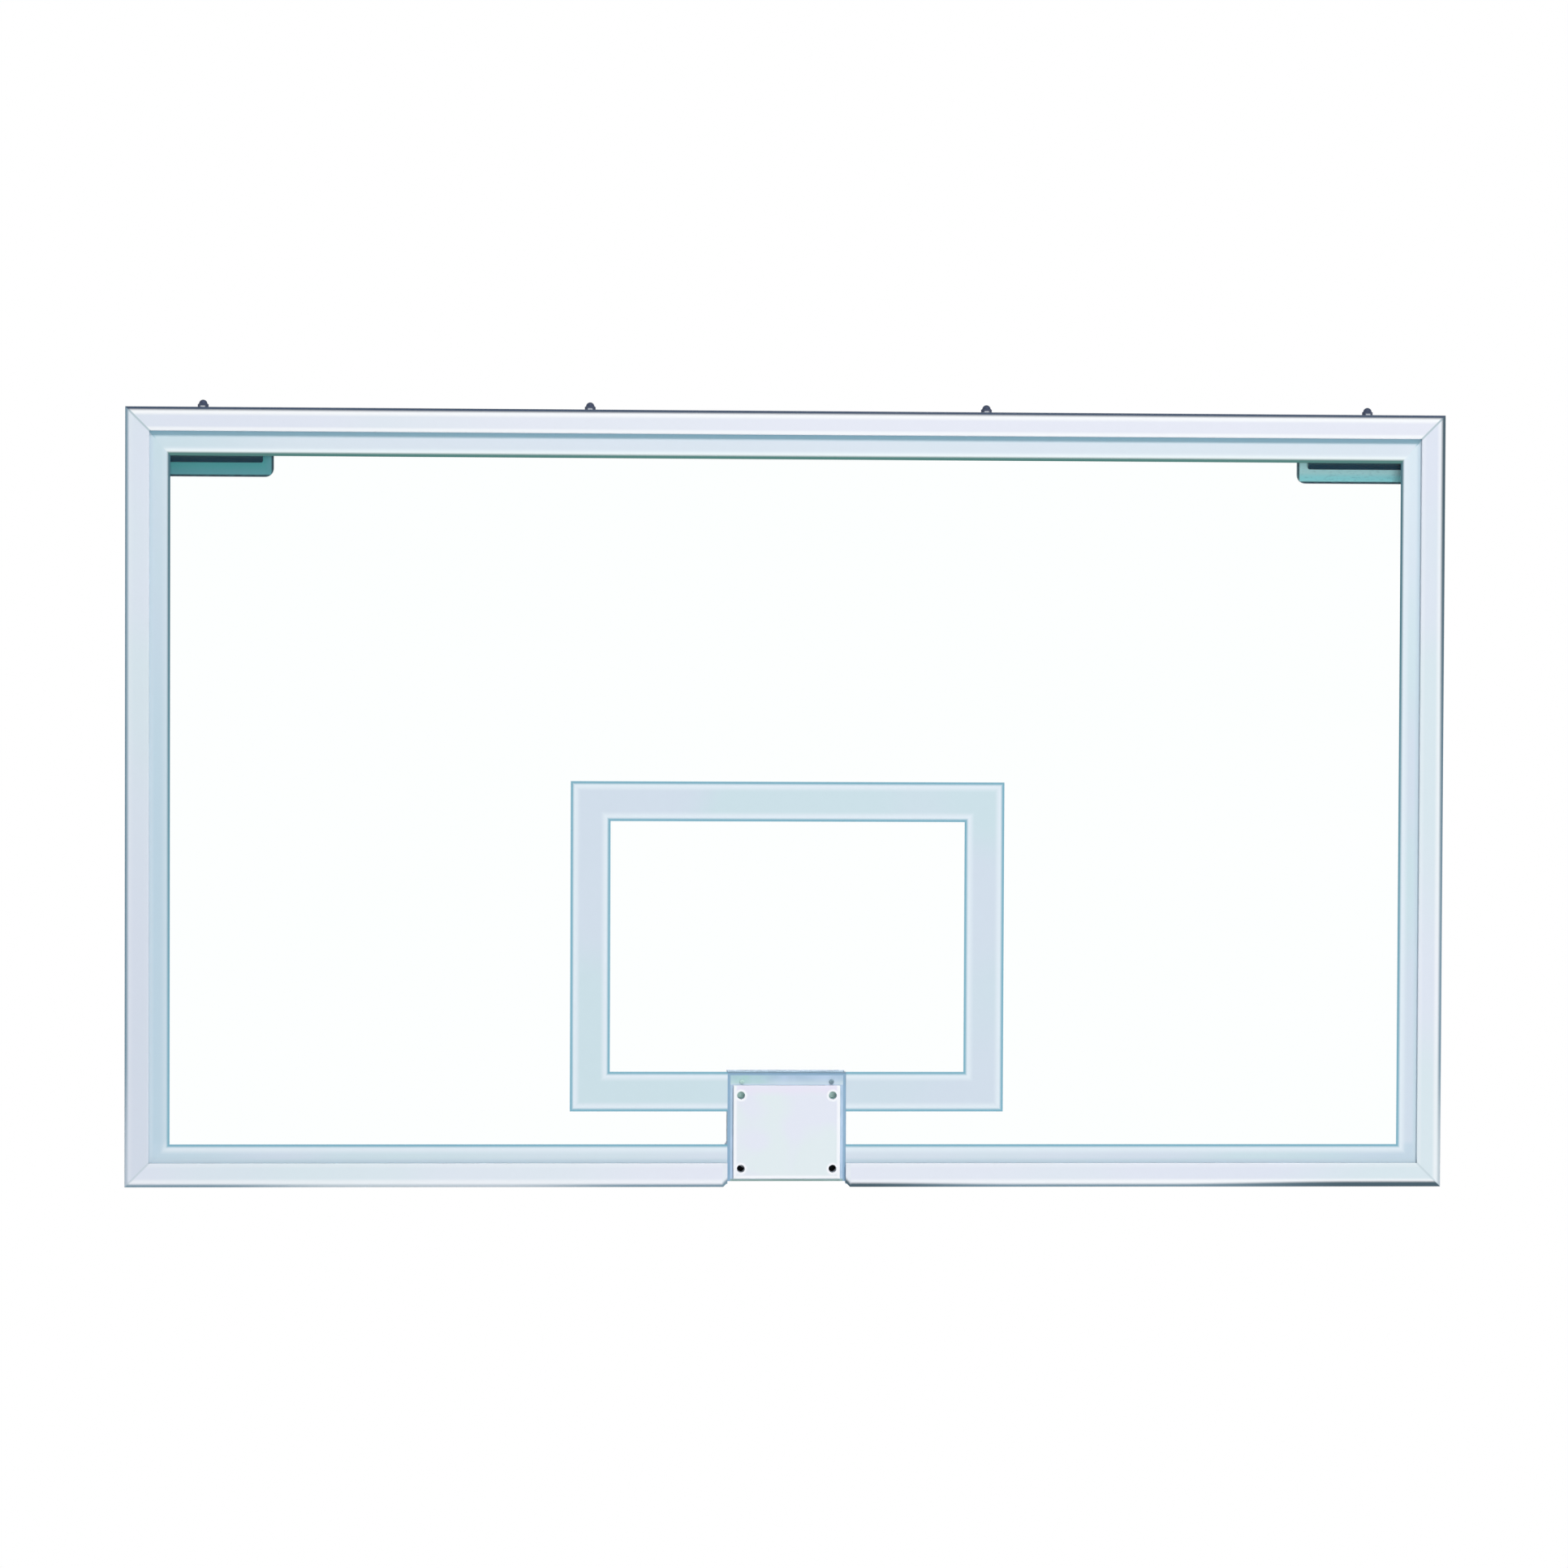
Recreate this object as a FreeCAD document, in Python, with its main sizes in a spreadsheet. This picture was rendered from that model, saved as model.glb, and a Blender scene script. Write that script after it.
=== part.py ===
import FreeCAD
import Part
import Sketcher
import os
import re

from FreeCAD import Placement, Rotation, Vector

doc = FreeCAD.newDocument("GlassBackboard")
sizes = doc.addObject("Spreadsheet::Sheet", "Sizes")

# Every size that can be chosen by itself, in millimetres.
dimensions = {
    # glass pane and the lines printed on its front
    "glass_width": "1800",
    "glass_height": "1050",
    "glass_thickness": "12",
    "line_width": "50",
    "line_film": "0.2",
    "border_drop": "2.5",
    "border_top_extra": "3",
    "target_width": "600",
    "target_height": "456.5",
    "target_line_width": "55",
    "target_rise": "148",
    # section of the frame rails
    "lip_width": "33",
    "frame_wall": "3.5",
    "outer_wall": "4",
    "chamber_depth": "22",
    "rail_round": "1.5",
    # glazing gasket
    "gasket_leg": "3.8",
    "gasket_web": "7",
    "gasket_inset": "3",
    # corner keys and their screws
    "key_leg": "85",
    "key_clearance": "0.3",
    "key_screw_place": "60",
    "screw_diameter": "5",
    "screw_length": "16",
    "screw_head_diameter": "9.5",
    "screw_head_height": "3",
    "screw_socket": "3",
    "screw_socket_depth": "2",
    # end caps of the bottom rails
    "cap_length": "7",
    "cap_chamfer": "6",
    # angle behind the top rail and its bolts
    "angle_wall": "5",
    "angle_drop": "22",
    "angle_end_gap": "6",
    "angle_bend": "1.2",
    "outer_bolt_inset": "103",
    "inner_bolt_place": "275",
    "sleeve_wall": "2.5",
    "cap_nut_hex": "4.7",
    "cap_nut_dome": "5.8",
    "cap_nut_bore": "8",
    # hanger plates
    "plate_thickness": "8",
    "plate_edge_round": "0.8",
    "hanger_width": "167",
    "hanger_height": "58",
    "hanger_gap": "2",
    "hanger_inset": "32",
    "hanger_corner": "12",
    "hanger_bolt_inset": "28",
    "hanger_bolt_drop": "12",
    "slot_height": "13.5",
    "slot_drop": "30",
    # nut bars that slide in the hanger slots
    "nut_travel": "12",
    "nut_bar_length": "138",
    "nut_bar_height": "17",
    "nut_bar_thickness": "10",
    "nut_bar_corner": "3",
    "tenon_length": "20",
    "tenon_depth": "6",
    "slide_clearance": "0.2",
    "hanger_thread": "10.2",
    "hanger_thread_depth": "13",
    # bolts, nuts and washers
    "bolt_diameter": "8",
    "bolt_flats": "13",
    "bolt_head": "5.3",
    "bolt_tip": "2",
    "bolt_play": "0.5",
    "thread_play": "0.1",
    "nut_height": "6.5",
    "washer_diameter": "16",
    "washer_thickness": "1.6",
    "plate_nut_side": "24",
    "plate_nut_thickness": "6",
    # rim bolt pattern and its face plate
    "rim_rise": "65",
    "rim_across": "127",
    "rim_upright": "101.6",
    "rim_hole": "11",
    "face_side_margin": "10.5",
    "face_top_margin": "13.7",
    "face_low_margin": "14",
    "face_thickness": "8",
    "face_recess": "1",
    "face_round": "1.5",
    # goal box
    "box_side_margin": "4",
    "box_top_margin": "13.5",
    "box_low_margin": "4",
    "box_wall": "5",
    "notch_strip": "4",
    "notch_strip_depth": "18",
    "weld_root": "0.4",
    # bar and nuts behind the rim holes
    "anchor_height": "38",
    "anchor_thickness": "16",
    "anchor_end_gap": "3",
    "anchor_bore_depth": "12",
    "anchor_screw_drop": "9",
    "anchor_screw_inset": "16",
    "anchor_screw_diameter": "4",
    "anchor_screw_length": "14",
    "anchor_screw_head_diameter": "7",
    "anchor_screw_head_height": "2.2",
    "anchor_screw_socket": "2.5",
    "anchor_screw_socket_depth": "1.4",
    "rim_thread": "10.2",
    "rim_nut_flats": "16",
    "rim_nut_height": "8",
    # back plate and the mast bolt pattern
    "wing_reach": "330",
    "wing_height": "45",
    "wing_corner": "8",
    "wing_bolt_near": "130",
    "wing_bolt_inset": "30",
    "mast_across": "110",
    "mast_upright": "90",
    "mast_hole": "13",
    "mast_thread": "12.2",
    "mast_nut_flats": "19",
    "mast_nut_height": "10",
    # how far a cut runs past what it cuts
    "cut_overrun": "5",
}
for row, (alias, value) in enumerate(dimensions.items(), start=1):
    sizes.set(f"A{row}", alias)
    sizes.set(f"B{row}", value)
    sizes.setAlias(f"B{row}", alias)
doc.recompute()

# Places and sizes that follow from the ones above. The origin is the middle of the mast pattern on the
# rear plane, X runs along the board, Y to the rear and Z up. Depths count back from the frame's front.
places = {
    "edge_cover": "outer_wall + gasket_web",
    "glass_half": "glass_width / 2",
    "glass_low": "-rim_rise",
    "glass_high": "glass_height - rim_rise",
    "frame_half": "glass_half + edge_cover",
    "frame_low": "glass_low - edge_cover",
    "frame_high": "glass_high + edge_cover",
    "frame_middle": "(frame_low + frame_high) / 2",
    "frame_half_height": "(frame_high - frame_low) / 2",
    "film_front": "frame_wall + gasket_leg",
    "glass_front": "film_front + line_film",
    "glass_back": "glass_front + glass_thickness",
    "channel_back": "glass_back + gasket_leg",
    "chamber_front": "channel_back + frame_wall",
    "chamber_back": "chamber_front + chamber_depth",
    "chamber_middle": "(chamber_front + chamber_back) / 2",
    "frame_depth": "chamber_back + frame_wall",
    "front_y": "-plate_thickness - frame_depth",
    "chamber_edge": "lip_width - frame_wall",
    "chamber_line": "(outer_wall + chamber_edge) / 2",
    "gasket_edge": "lip_width - gasket_inset",
    "key_low": "outer_wall + key_clearance",
    "key_high": "chamber_edge - key_clearance",
    "target_low": "glass_low + target_rise - target_line_width",
    "target_high": "target_low + target_height",
    "rim_half": "rim_across / 2",
    "rim_half_height": "rim_upright / 2",
    "face_half": "rim_half + face_side_margin",
    "face_low": "-rim_half_height - face_low_margin",
    "face_high": "rim_half_height + face_top_margin",
    "box_front": "face_recess + face_thickness",
    "box_depth": "frame_depth - box_front",
    "box_half": "face_half + box_side_margin",
    "box_low": "face_low - box_low_margin",
    "box_high": "face_high + box_top_margin",
    "box_inner_half": "box_half - box_wall",
    "notch_half": "box_half + notch_strip",
    "notch_high": "box_high + notch_strip",
    "anchor_front": "box_front + box_wall",
    "anchor_half": "box_inner_half - anchor_end_gap",
    "anchor_high": "box_high - box_wall",
    "anchor_screw_across": "box_half - anchor_screw_inset",
    "anchor_screw_high": "box_high - anchor_screw_drop",
    "rail_end": "notch_half + cap_length",
    "wing_high": "box_low + wing_height",
    "wing_bolt_far": "wing_reach - wing_bolt_inset",
    "wing_bolt_high": "frame_low + chamber_line",
    "angle_high": "frame_high - lip_width",
    "angle_low": "angle_high - angle_drop",
    "angle_half": "frame_half - lip_width - angle_end_gap",
    "outer_bolt_place": "frame_half - outer_bolt_inset",
    "hanger_outer": "frame_half - hanger_inset",
    "hanger_inner": "hanger_outer - hanger_width",
    "hanger_middle": "(hanger_outer + hanger_inner) / 2",
    "hanger_high": "angle_high - hanger_gap",
    "hanger_low": "hanger_high - hanger_height",
    "hanger_bolt_spread": "hanger_width / 2 - hanger_bolt_inset",
    "hanger_bolt_high": "hanger_high - hanger_bolt_drop",
    "slot_high": "hanger_high - slot_drop",
    "slot_centre": "tenon_length / 2 + nut_travel",
    "tenon_half_height": "slot_height / 2 - slide_clearance",
    "bolt_hole": "bolt_diameter + 2 * bolt_play",
    "bolt_bore": "bolt_diameter + 2 * thread_play",
    "screw_hole": "screw_diameter + 2 * thread_play",
    "anchor_screw_hole": "anchor_screw_diameter + 2 * thread_play",
}
signs = {-1: "-", 1: ""}
same_spot = 0.001
quarter_turn = 90
sixth_turn = 60
upright = Vector(0, 1, 0)
to_rear = Rotation(Vector(1, 0, 0), -quarter_turn)
to_front = Rotation(Vector(1, 0, 0), quarter_turn)
upward = Rotation()
downward = Rotation(Vector(1, 0, 0), 2 * quarter_turn)
hex_turned = Rotation(Vector(0, 0, 1), sixth_turn / 2)


def formula(text):
    def spell(match):
        word = match.group(0)
        if word in places:
            return "(" + formula(places[word]) + ")"
        return "Sizes." + word if word in dimensions else word
    return re.sub("[a-z_]+", spell, text)


def number(text):
    return float(sizes.evalExpression(formula(text)))


def bind(target, path, text):
    if text != "0":
        target.setExpression(path, formula(text))


def body_named(label):
    body = doc.addObject("PartDesign::Body", label)
    body.Label = label
    return body


def place(target, rotation, across="0", depth="0", high="0"):
    target.Placement = Placement(Vector(number(across), number(depth), number(high)), rotation)
    bind(target, "Placement.Base.x", across)
    bind(target, "Placement.Base.y", depth)
    bind(target, "Placement.Base.z", high)


def sketch_on(body, role, offset="0"):
    sketch = body.newObject("Sketcher::SketchObject", "Sketch")
    plane = next(feature for feature in body.Origin.OriginFeatures if feature.Role == role)
    sketch.AttachmentSupport = [(plane, "")]
    sketch.MapMode = "FlatFace"
    bind(sketch, "AttachmentOffset.Base.z", offset)
    return sketch


def fix_point(sketch, geometry, point, spot):
    for kind, text in zip(("DistanceX", "DistanceY"), spot):
        index = sketch.addConstraint(Sketcher.Constraint(kind, -1, 1, geometry, point, number(text)))
        bind(sketch, f"Constraints[{index}]", text)


def polygon(sketch, corners):
    spots = [Vector(number(across), number(up), 0) for across, up in corners]
    sides = []
    for start, end in zip(spots, spots[1:] + spots[:1]):
        sides.append(sketch.addGeometry(Part.LineSegment(start, end), False))
    for side, following in zip(sides, sides[1:] + sides[:1]):
        sketch.addConstraint(Sketcher.Constraint("Coincident", side, 2, following, 1))
    for side, corner in zip(sides, corners):
        fix_point(sketch, side, 1, corner)


def rectangle(sketch, left, right, low, high):
    polygon(sketch, [(left, low), (right, low), (right, high), (left, high)])


def circles(sketch, spots, diameter):
    for spot in spots:
        centre = Vector(number(spot[0]), number(spot[1]), 0)
        ring = sketch.addGeometry(Part.Circle(centre, Vector(0, 0, 1), number(diameter) / 2), False)
        fix_point(sketch, ring, 3, spot)
        index = sketch.addConstraint(Sketcher.Constraint("Diameter", ring, number(diameter)))
        bind(sketch, f"Constraints[{index}]", diameter)


def pad(body, sketch, length, side="One side"):
    feature = body.newObject("PartDesign::Pad", "Pad")
    feature.Profile = sketch
    feature.SideType = side
    bind(feature, "Length", length)
    return feature


# A cut of a given depth runs as far to both sides of its sketch.
def pocket(body, sketch, depth=None):
    feature = body.newObject("PartDesign::Pocket", "Pocket")
    feature.Profile = sketch
    feature.SideType = "Symmetric"
    if depth is None:
        feature.Type = "ThroughAll"
    else:
        bind(feature, "Length", f"2 * ({depth})")
    return feature


# The edges of a body whose ends both lie at one of the spots, each given along the named axes.
def edges_at(body, axes, spots):
    doc.recompute()
    wanted = [[number(text) for text in spot] for spot in spots]
    names = []
    for index, edge in enumerate(body.Tip.Shape.Edges, start=1):
        ends = [[getattr(vertex.Point, axis) for axis in axes] for vertex in edge.Vertexes]
        gaps = [max(abs(a - b) for end in ends for a, b in zip(end, spot)) for spot in wanted]
        if len(ends) > 1 and min(gaps) < same_spot:
            names.append(f"Edge{index}")
    return names


def round_edges(body, axes, spots, radius):
    names = edges_at(body, axes, spots)
    tip = body.Tip
    feature = body.newObject("PartDesign::Fillet", "Fillet")
    feature.Base = (tip, names)
    bind(feature, "Radius", radius)


def bevel_edges(body, axes, spots, size):
    names = edges_at(body, axes, spots)
    tip = body.Tip
    feature = body.newObject("PartDesign::Chamfer", "Chamfer")
    feature.Base = (tip, names)
    bind(feature, "Size", size)


# A piece cut from plate: drawn on its rear face and as thick as it is deep.
def plate_sketch(body, rear):
    return sketch_on(body, "XZ_Plane", f"-({rear})")


def drill(body, spots, diameter, rear="0", depth=None):
    sketch = plate_sketch(body, rear)
    circles(sketch, spots, diameter)
    return pocket(body, sketch, depth)


def mirrored_spots(across, high):
    return [(sign + f"({across})", level) for sign in signs.values() for level in high]


# Frame rails, gaskets and end caps share one way of being made: a section drawn with its width counted
# in from the frame's outer edge and its depth from the front, run along the edge and cut at 45 degrees.
rail_outline = [
    ("0", "0"),
    ("lip_width", "0"),
    ("lip_width", "frame_wall"),
    ("outer_wall", "frame_wall"),
    ("outer_wall", "channel_back"),
    ("lip_width", "channel_back"),
    ("lip_width", "frame_depth"),
    ("0", "frame_depth"),
]
rail_corners = [("0", "0"), ("lip_width", "0"), ("lip_width", "frame_depth"), ("0", "frame_depth")]
chamber_outline = [
    ("outer_wall", "chamber_front"),
    ("chamber_edge", "chamber_front"),
    ("chamber_edge", "chamber_back"),
    ("outer_wall", "chamber_back"),
]
gasket_outline = [
    ("outer_wall", "frame_wall"),
    ("gasket_edge", "frame_wall"),
    ("gasket_edge", "film_front"),
    ("edge_cover", "film_front"),
    ("edge_cover", "glass_back"),
    ("gasket_edge", "glass_back"),
    ("gasket_edge", "channel_back"),
    ("outer_wall", "channel_back"),
]
edge_places = {
    "left": (0, "-frame_half", "frame_middle"),
    "top": (quarter_turn, "0", "frame_high"),
    "right": (2 * quarter_turn, "frame_half", "frame_middle"),
    "bottom": (3 * quarter_turn, "0", "frame_low"),
}


def run_along(label, edge, outlines, start, end, rounded):
    body = body_named(label)
    sketch = sketch_on(body, "XY_Plane", start)
    for outline in outlines:
        polygon(sketch, outline)
    pad(body, sketch, f"({end}) - ({start})")
    if rounded:
        round_edges(body, "xy", rail_corners, "rail_round")
    turn, across, high = edge_places[edge]
    place(body, Rotation(upright, turn), across, "front_y", high)
    return body


def mitre(body, end, sign):
    sketch = sketch_on(body, "XZ_Plane")
    past = f"{end} + {sign} * cut_overrun"
    far = "lip_width + cut_overrun"
    polygon(sketch, [("-cut_overrun", past), (far, f"{end} - {sign} * ({far})"), (far, past)])
    pocket(body, sketch)


def rear_holes(body, alongs, diameter):
    spots = [("chamber_line", along) for along in alongs]
    drill(body, spots, diameter, "frame_depth", "frame_wall + cut_overrun")


rails = []
gaskets = []
full_edges = {"left": "frame_half_height", "right": "frame_half_height", "top": "frame_half"}
for edge, half in full_edges.items():
    rail = run_along(f"{edge}_rail", edge, [rail_outline, chamber_outline], f"-{half}", half, True)
    gasket = run_along(f"{edge}_gasket", edge, [gasket_outline], f"-{half}", half, False)
    for sign, mark in signs.items():
        mitre(rail, mark + half, sign)
        mitre(gasket, mark + half, sign)
    rear_holes(rail, [f"{mark}({half} - key_screw_place)" for mark in signs.values()], "screw_hole")
    rails.append(rail)
    gaskets.append(gasket)

top_bolt_alongs = [mark + spot for spot in ("outer_bolt_place", "inner_bolt_place") for mark in signs.values()]
top_bolt_sketch = sketch_on(rails[-1], "YZ_Plane")
circles(top_bolt_sketch, [("chamber_middle", along) for along in top_bolt_alongs], "bolt_hole")
pocket(rails[-1], top_bolt_sketch)

# The bottom edge is interrupted by the goal box, and its length is counted from right to left.
caps = []
for side, sign in (("left", 1), ("right", -1)):
    mark = signs[sign]
    spans = {
        "rail": ("rail_end", "frame_half"),
        "gasket": ("notch_half", "frame_half"),
        "end_cap": ("notch_half", "rail_end"),
    }
    for piece, (near, far) in spans.items():
        spans[piece] = (near, far) if sign > 0 else ("-" + far, "-" + near)
    rail = run_along(
        f"bottom_{side}_rail", "bottom", [rail_outline, chamber_outline], *spans["rail"], True)
    gasket = run_along(f"bottom_{side}_gasket", "bottom", [gasket_outline], *spans["gasket"], False)
    cap = run_along(f"{side}_end_cap", "bottom", [rail_outline], *spans["end_cap"], True)
    mitre(rail, mark + "frame_half", sign)
    mitre(gasket, mark + "frame_half", sign)
    rear_holes(rail, [f"{mark}(frame_half - key_screw_place)"], "screw_hole")
    rear_holes(rail, [mark + "wing_bolt_near", mark + "wing_bolt_far"], "bolt_hole")
    chamfer = sketch_on(cap, "XZ_Plane")
    inside = f"{mark}(notch_half - cut_overrun)"
    polygon(chamfer, [
        ("-cut_overrun", inside),
        ("cap_chamfer + cut_overrun", inside),
        ("-cut_overrun", f"{mark}(notch_half + cap_chamfer + cut_overrun)"),
    ])
    pocket(cap, chamfer)
    rails.append(rail)
    gaskets.append(gasket)
    caps.append(cap)

# Corner keys lie in the chambers of two rails and are pulled against their rear walls.
key_corners = {
    "bottom_left": (0, "-frame_half", "frame_low"),
    "top_left": (quarter_turn, "-frame_half", "frame_high"),
    "top_right": (2 * quarter_turn, "frame_half", "frame_high"),
    "bottom_right": (3 * quarter_turn, "frame_half", "frame_low"),
}
keys = []
for corner, (turn, across, high) in key_corners.items():
    key = body_named(f"{corner}_corner_key")
    outline = sketch_on(key, "XZ_Plane", "-chamber_middle")
    polygon(outline, [
        ("key_low", "key_low"),
        ("key_leg", "key_low"),
        ("key_leg", "key_high"),
        ("key_high", "key_high"),
        ("key_high", "key_leg"),
        ("key_low", "key_leg"),
    ])
    pad(key, outline, "chamber_depth", "Symmetric")
    drill(key, [("chamber_line", "key_screw_place"), ("key_screw_place", "chamber_line")], "screw_hole")
    place(key, Rotation(upright, turn), across, "front_y", high)
    keys.append(key)

# Glass, with the notch that the goal box stands in, and the lines printed on its front.
glass = body_named("glass_pane")
outline = plate_sketch(glass, "front_y + glass_back")
polygon(outline, [
    ("-glass_half", "glass_low"),
    ("-notch_half", "glass_low"),
    ("-notch_half", "notch_high"),
    ("notch_half", "notch_high"),
    ("notch_half", "glass_low"),
    ("glass_half", "glass_low"),
    ("glass_half", "glass_high"),
    ("-glass_half", "glass_high"),
])
pad(glass, outline, "glass_thickness")


def printed_line(label, half, low, high, width, drop="0", top_extra="0"):
    body = body_named(label)
    ring = plate_sketch(body, "front_y + glass_front")
    rectangle(ring, f"-({half})", half, low, high)
    inner = f"{half} - {width}"
    inner_low = f"{low} + {width} - {drop}"
    inner_high = f"{high} - {width} - {drop} - {top_extra}"
    rectangle(ring, f"-({inner})", inner, inner_low, inner_high)
    pad(body, ring, "line_film")
    notch = plate_sketch(body, "front_y + glass_front")
    rectangle(notch, "-notch_half", "notch_half", "glass_low - cut_overrun", "notch_high")
    pocket(body, notch)
    return body


border = printed_line(
    "border_line", "glass_half", "glass_low", "glass_high", "line_width", "border_drop", "border_top_extra")
target = printed_line("target_line", "target_width / 2", "target_low", "target_high", "target_line_width")

# Goal box, its face plate, the rubber strip round it and what stands behind the rim holes.
rim_spots = mirrored_spots("rim_half", ["-rim_half_height", "rim_half_height"])
anchor_screw_spots = mirrored_spots("anchor_screw_across", ["anchor_screw_high"])

face = body_named("rim_face_plate")
outline = plate_sketch(face, "front_y + box_front")
rectangle(outline, "-face_half", "face_half", "face_low", "face_high")
pad(face, outline, "face_thickness")
drill(face, rim_spots, "rim_hole")
round_edges(face, "y", [("front_y + face_recess",)], "face_round")

box = body_named("goal_box")
outline = plate_sketch(box, "-plate_thickness")
rectangle(outline, "-box_half", "box_half", "box_low", "box_high")
pad(box, outline, "box_depth")
hollow = plate_sketch(box, "-plate_thickness")
rectangle(hollow, "-box_inner_half", "box_inner_half", "box_low + box_wall", "box_high - box_wall")
pocket(box, hollow, "box_depth - box_wall")
drill(box, rim_spots, "rim_hole")
drill(box, anchor_screw_spots, "anchor_screw_hole")


def round_box(body, rear, length):
    sketch = plate_sketch(body, rear)
    polygon(sketch, [
        ("-notch_half", "box_low"),
        ("-box_half", "box_low"),
        ("-box_half", "box_high"),
        ("box_half", "box_high"),
        ("box_half", "box_low"),
        ("notch_half", "box_low"),
        ("notch_half", "notch_high"),
        ("-notch_half", "notch_high"),
    ])
    return pad(body, sketch, length)


strip = body_named("notch_strip")
round_box(strip, "front_y + box_front + notch_strip_depth", "notch_strip_depth")

weld = body_named("goal_box_weld")
round_box(weld, "-plate_thickness", "notch_strip")
weld_sides = [(mark + "notch_half", "-plate_thickness - notch_strip") for mark in signs.values()]
bevel_edges(weld, "xy", weld_sides, "notch_strip - weld_root")
weld_top = [("-plate_thickness - notch_strip", "notch_high")]
bevel_edges(weld, "yz", weld_top, "notch_strip - weld_root")

anchor = body_named("anchor_bar")
outline = plate_sketch(anchor, "front_y + anchor_front + anchor_thickness")
rectangle(outline, "-anchor_half", "anchor_half", "anchor_high - anchor_height", "anchor_high")
pad(anchor, outline, "anchor_thickness")
drill(
    anchor, mirrored_spots("rim_half", ["rim_half_height"]), "rim_thread",
    "front_y + anchor_front", "anchor_bore_depth")
drill(anchor, anchor_screw_spots, "anchor_screw_hole")

# Back plate: an upright that closes the box and carries the mast, with a wing behind each bottom rail.
wing_spots = mirrored_spots("wing_bolt_near", ["wing_bolt_high"])
wing_spots += mirrored_spots("wing_bolt_far", ["wing_bolt_high"])
mast_spots = mirrored_spots("mast_across / 2", ["-mast_upright / 2", "mast_upright / 2"])
back = body_named("back_plate")
outline = plate_sketch(back, "0")
polygon(outline, [
    ("-wing_reach", "box_low"),
    ("wing_reach", "box_low"),
    ("wing_reach", "wing_high"),
    ("notch_half", "wing_high"),
    ("notch_half", "notch_high"),
    ("-notch_half", "notch_high"),
    ("-notch_half", "wing_high"),
    ("-wing_reach", "wing_high"),
])
pad(back, outline, "plate_thickness")
wing_corners = mirrored_spots("wing_reach", ["box_low", "wing_high"])
wing_corners += mirrored_spots("notch_half", ["wing_high"])
round_edges(back, "xz", wing_corners, "wing_corner")
round_edges(back, "y", [("0",)], "plate_edge_round")
drill(back, mast_spots, "mast_hole")
drill(back, wing_spots, "bolt_hole")

# Angle behind the top rail.
angle = body_named("top_angle")
outline = sketch_on(angle, "YZ_Plane")
polygon(outline, [
    ("front_y + chamber_front", "angle_high"),
    ("-plate_thickness", "angle_high"),
    ("-plate_thickness", "angle_low"),
    ("-plate_thickness - angle_wall", "angle_low"),
    ("-plate_thickness - angle_wall", "angle_high - angle_wall"),
    ("front_y + chamber_front", "angle_high - angle_wall"),
])
pad(angle, outline, "2 * angle_half", "Symmetric")
round_edges(angle, "yz", [("-plate_thickness - angle_wall", "angle_high - angle_wall")], "angle_bend")
angle_holes = sketch_on(angle, "XY_Plane")
circles(angle_holes, [(along, "front_y + chamber_middle") for along in top_bolt_alongs], "bolt_hole")
pocket(angle, angle_holes)
hanger_bolt_alongs = [
    f"{mark}(hanger_middle + {turn} * hanger_bolt_spread)" for mark in signs.values() for turn in signs]
hanger_bolt_spots = [(along, "hanger_bolt_high") for along in hanger_bolt_alongs]
drill(angle, hanger_bolt_spots, "bolt_hole")

# Hanger plates, and the nut bars that slide along their slots.
hangers = []
nut_bars = []
for side, sign in (("left", -1), ("right", 1)):
    mark = signs[sign]
    middle = f"{mark}hanger_middle"
    hanger = body_named(f"{side}_hanger_plate")
    outline = plate_sketch(hanger, "0")
    rectangle(
        outline, f"{middle} - hanger_width / 2", f"{middle} + hanger_width / 2", "hanger_low", "hanger_high")
    pad(hanger, outline, "plate_thickness")
    low_corners = [(mark + end, "hanger_low") for end in ("hanger_inner", "hanger_outer")]
    round_edges(hanger, "xz", low_corners, "hanger_corner")
    round_edges(hanger, "y", [("0",), ("-plate_thickness",)], "plate_edge_round")
    slot = plate_sketch(hanger, "0")
    rectangle(
        slot, f"{middle} - slot_centre", f"{middle} + slot_centre",
        "slot_high - slot_height / 2", "slot_high + slot_height / 2")
    pocket(hanger, slot)
    drill(hanger, [(f"{middle} {end} slot_centre", "slot_high") for end in "+-"], "slot_height")
    drill(hanger, [(f"{middle} {end} hanger_bolt_spread", "hanger_bolt_high") for end in "+-"], "bolt_hole")
    hangers.append(hanger)

    bar = body_named(f"{side}_nut_bar")
    bar_rear = "-plate_thickness - slide_clearance"
    outline = plate_sketch(bar, bar_rear)
    rectangle(
        outline, f"{middle} - nut_bar_length / 2", f"{middle} + nut_bar_length / 2",
        "slot_high - nut_bar_height / 2", "slot_high + nut_bar_height / 2")
    pad(bar, outline, "nut_bar_thickness")
    bar_corners = [
        (f"{middle} {end} nut_bar_length / 2", f"slot_high {level} nut_bar_height / 2")
        for end in "+-" for level in "+-"]
    round_edges(bar, "xz", bar_corners, "nut_bar_corner")
    tenon = plate_sketch(bar, f"{bar_rear} + tenon_depth")
    rectangle(
        tenon, f"{middle} - tenon_length / 2", f"{middle} + tenon_length / 2",
        "slot_high - tenon_half_height", "slot_high + tenon_half_height")
    pad(bar, tenon, "tenon_depth")
    drill(bar, [(middle, "slot_high")], "hanger_thread", f"{bar_rear} + tenon_depth", "hanger_thread_depth")
    nut_bars.append(bar)


# Fasteners: one of each kind is drawn with its axis upright and stands wherever it is used.
def primitive(kind, lift="0", **bound):
    shape = doc.addObject("Part::" + kind, kind)
    for path, text in bound.items():
        bind(shape, path, text)
    bind(shape, "Placement.Base.z", lift)
    return shape


def hexagon(flats, height, lift="0"):
    prism = primitive("Prism", lift, Circumradius=f"{flats} / 2 / cos({sixth_turn / 2} deg)", Height=height)
    prism.Polygon = 6
    return prism


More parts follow.
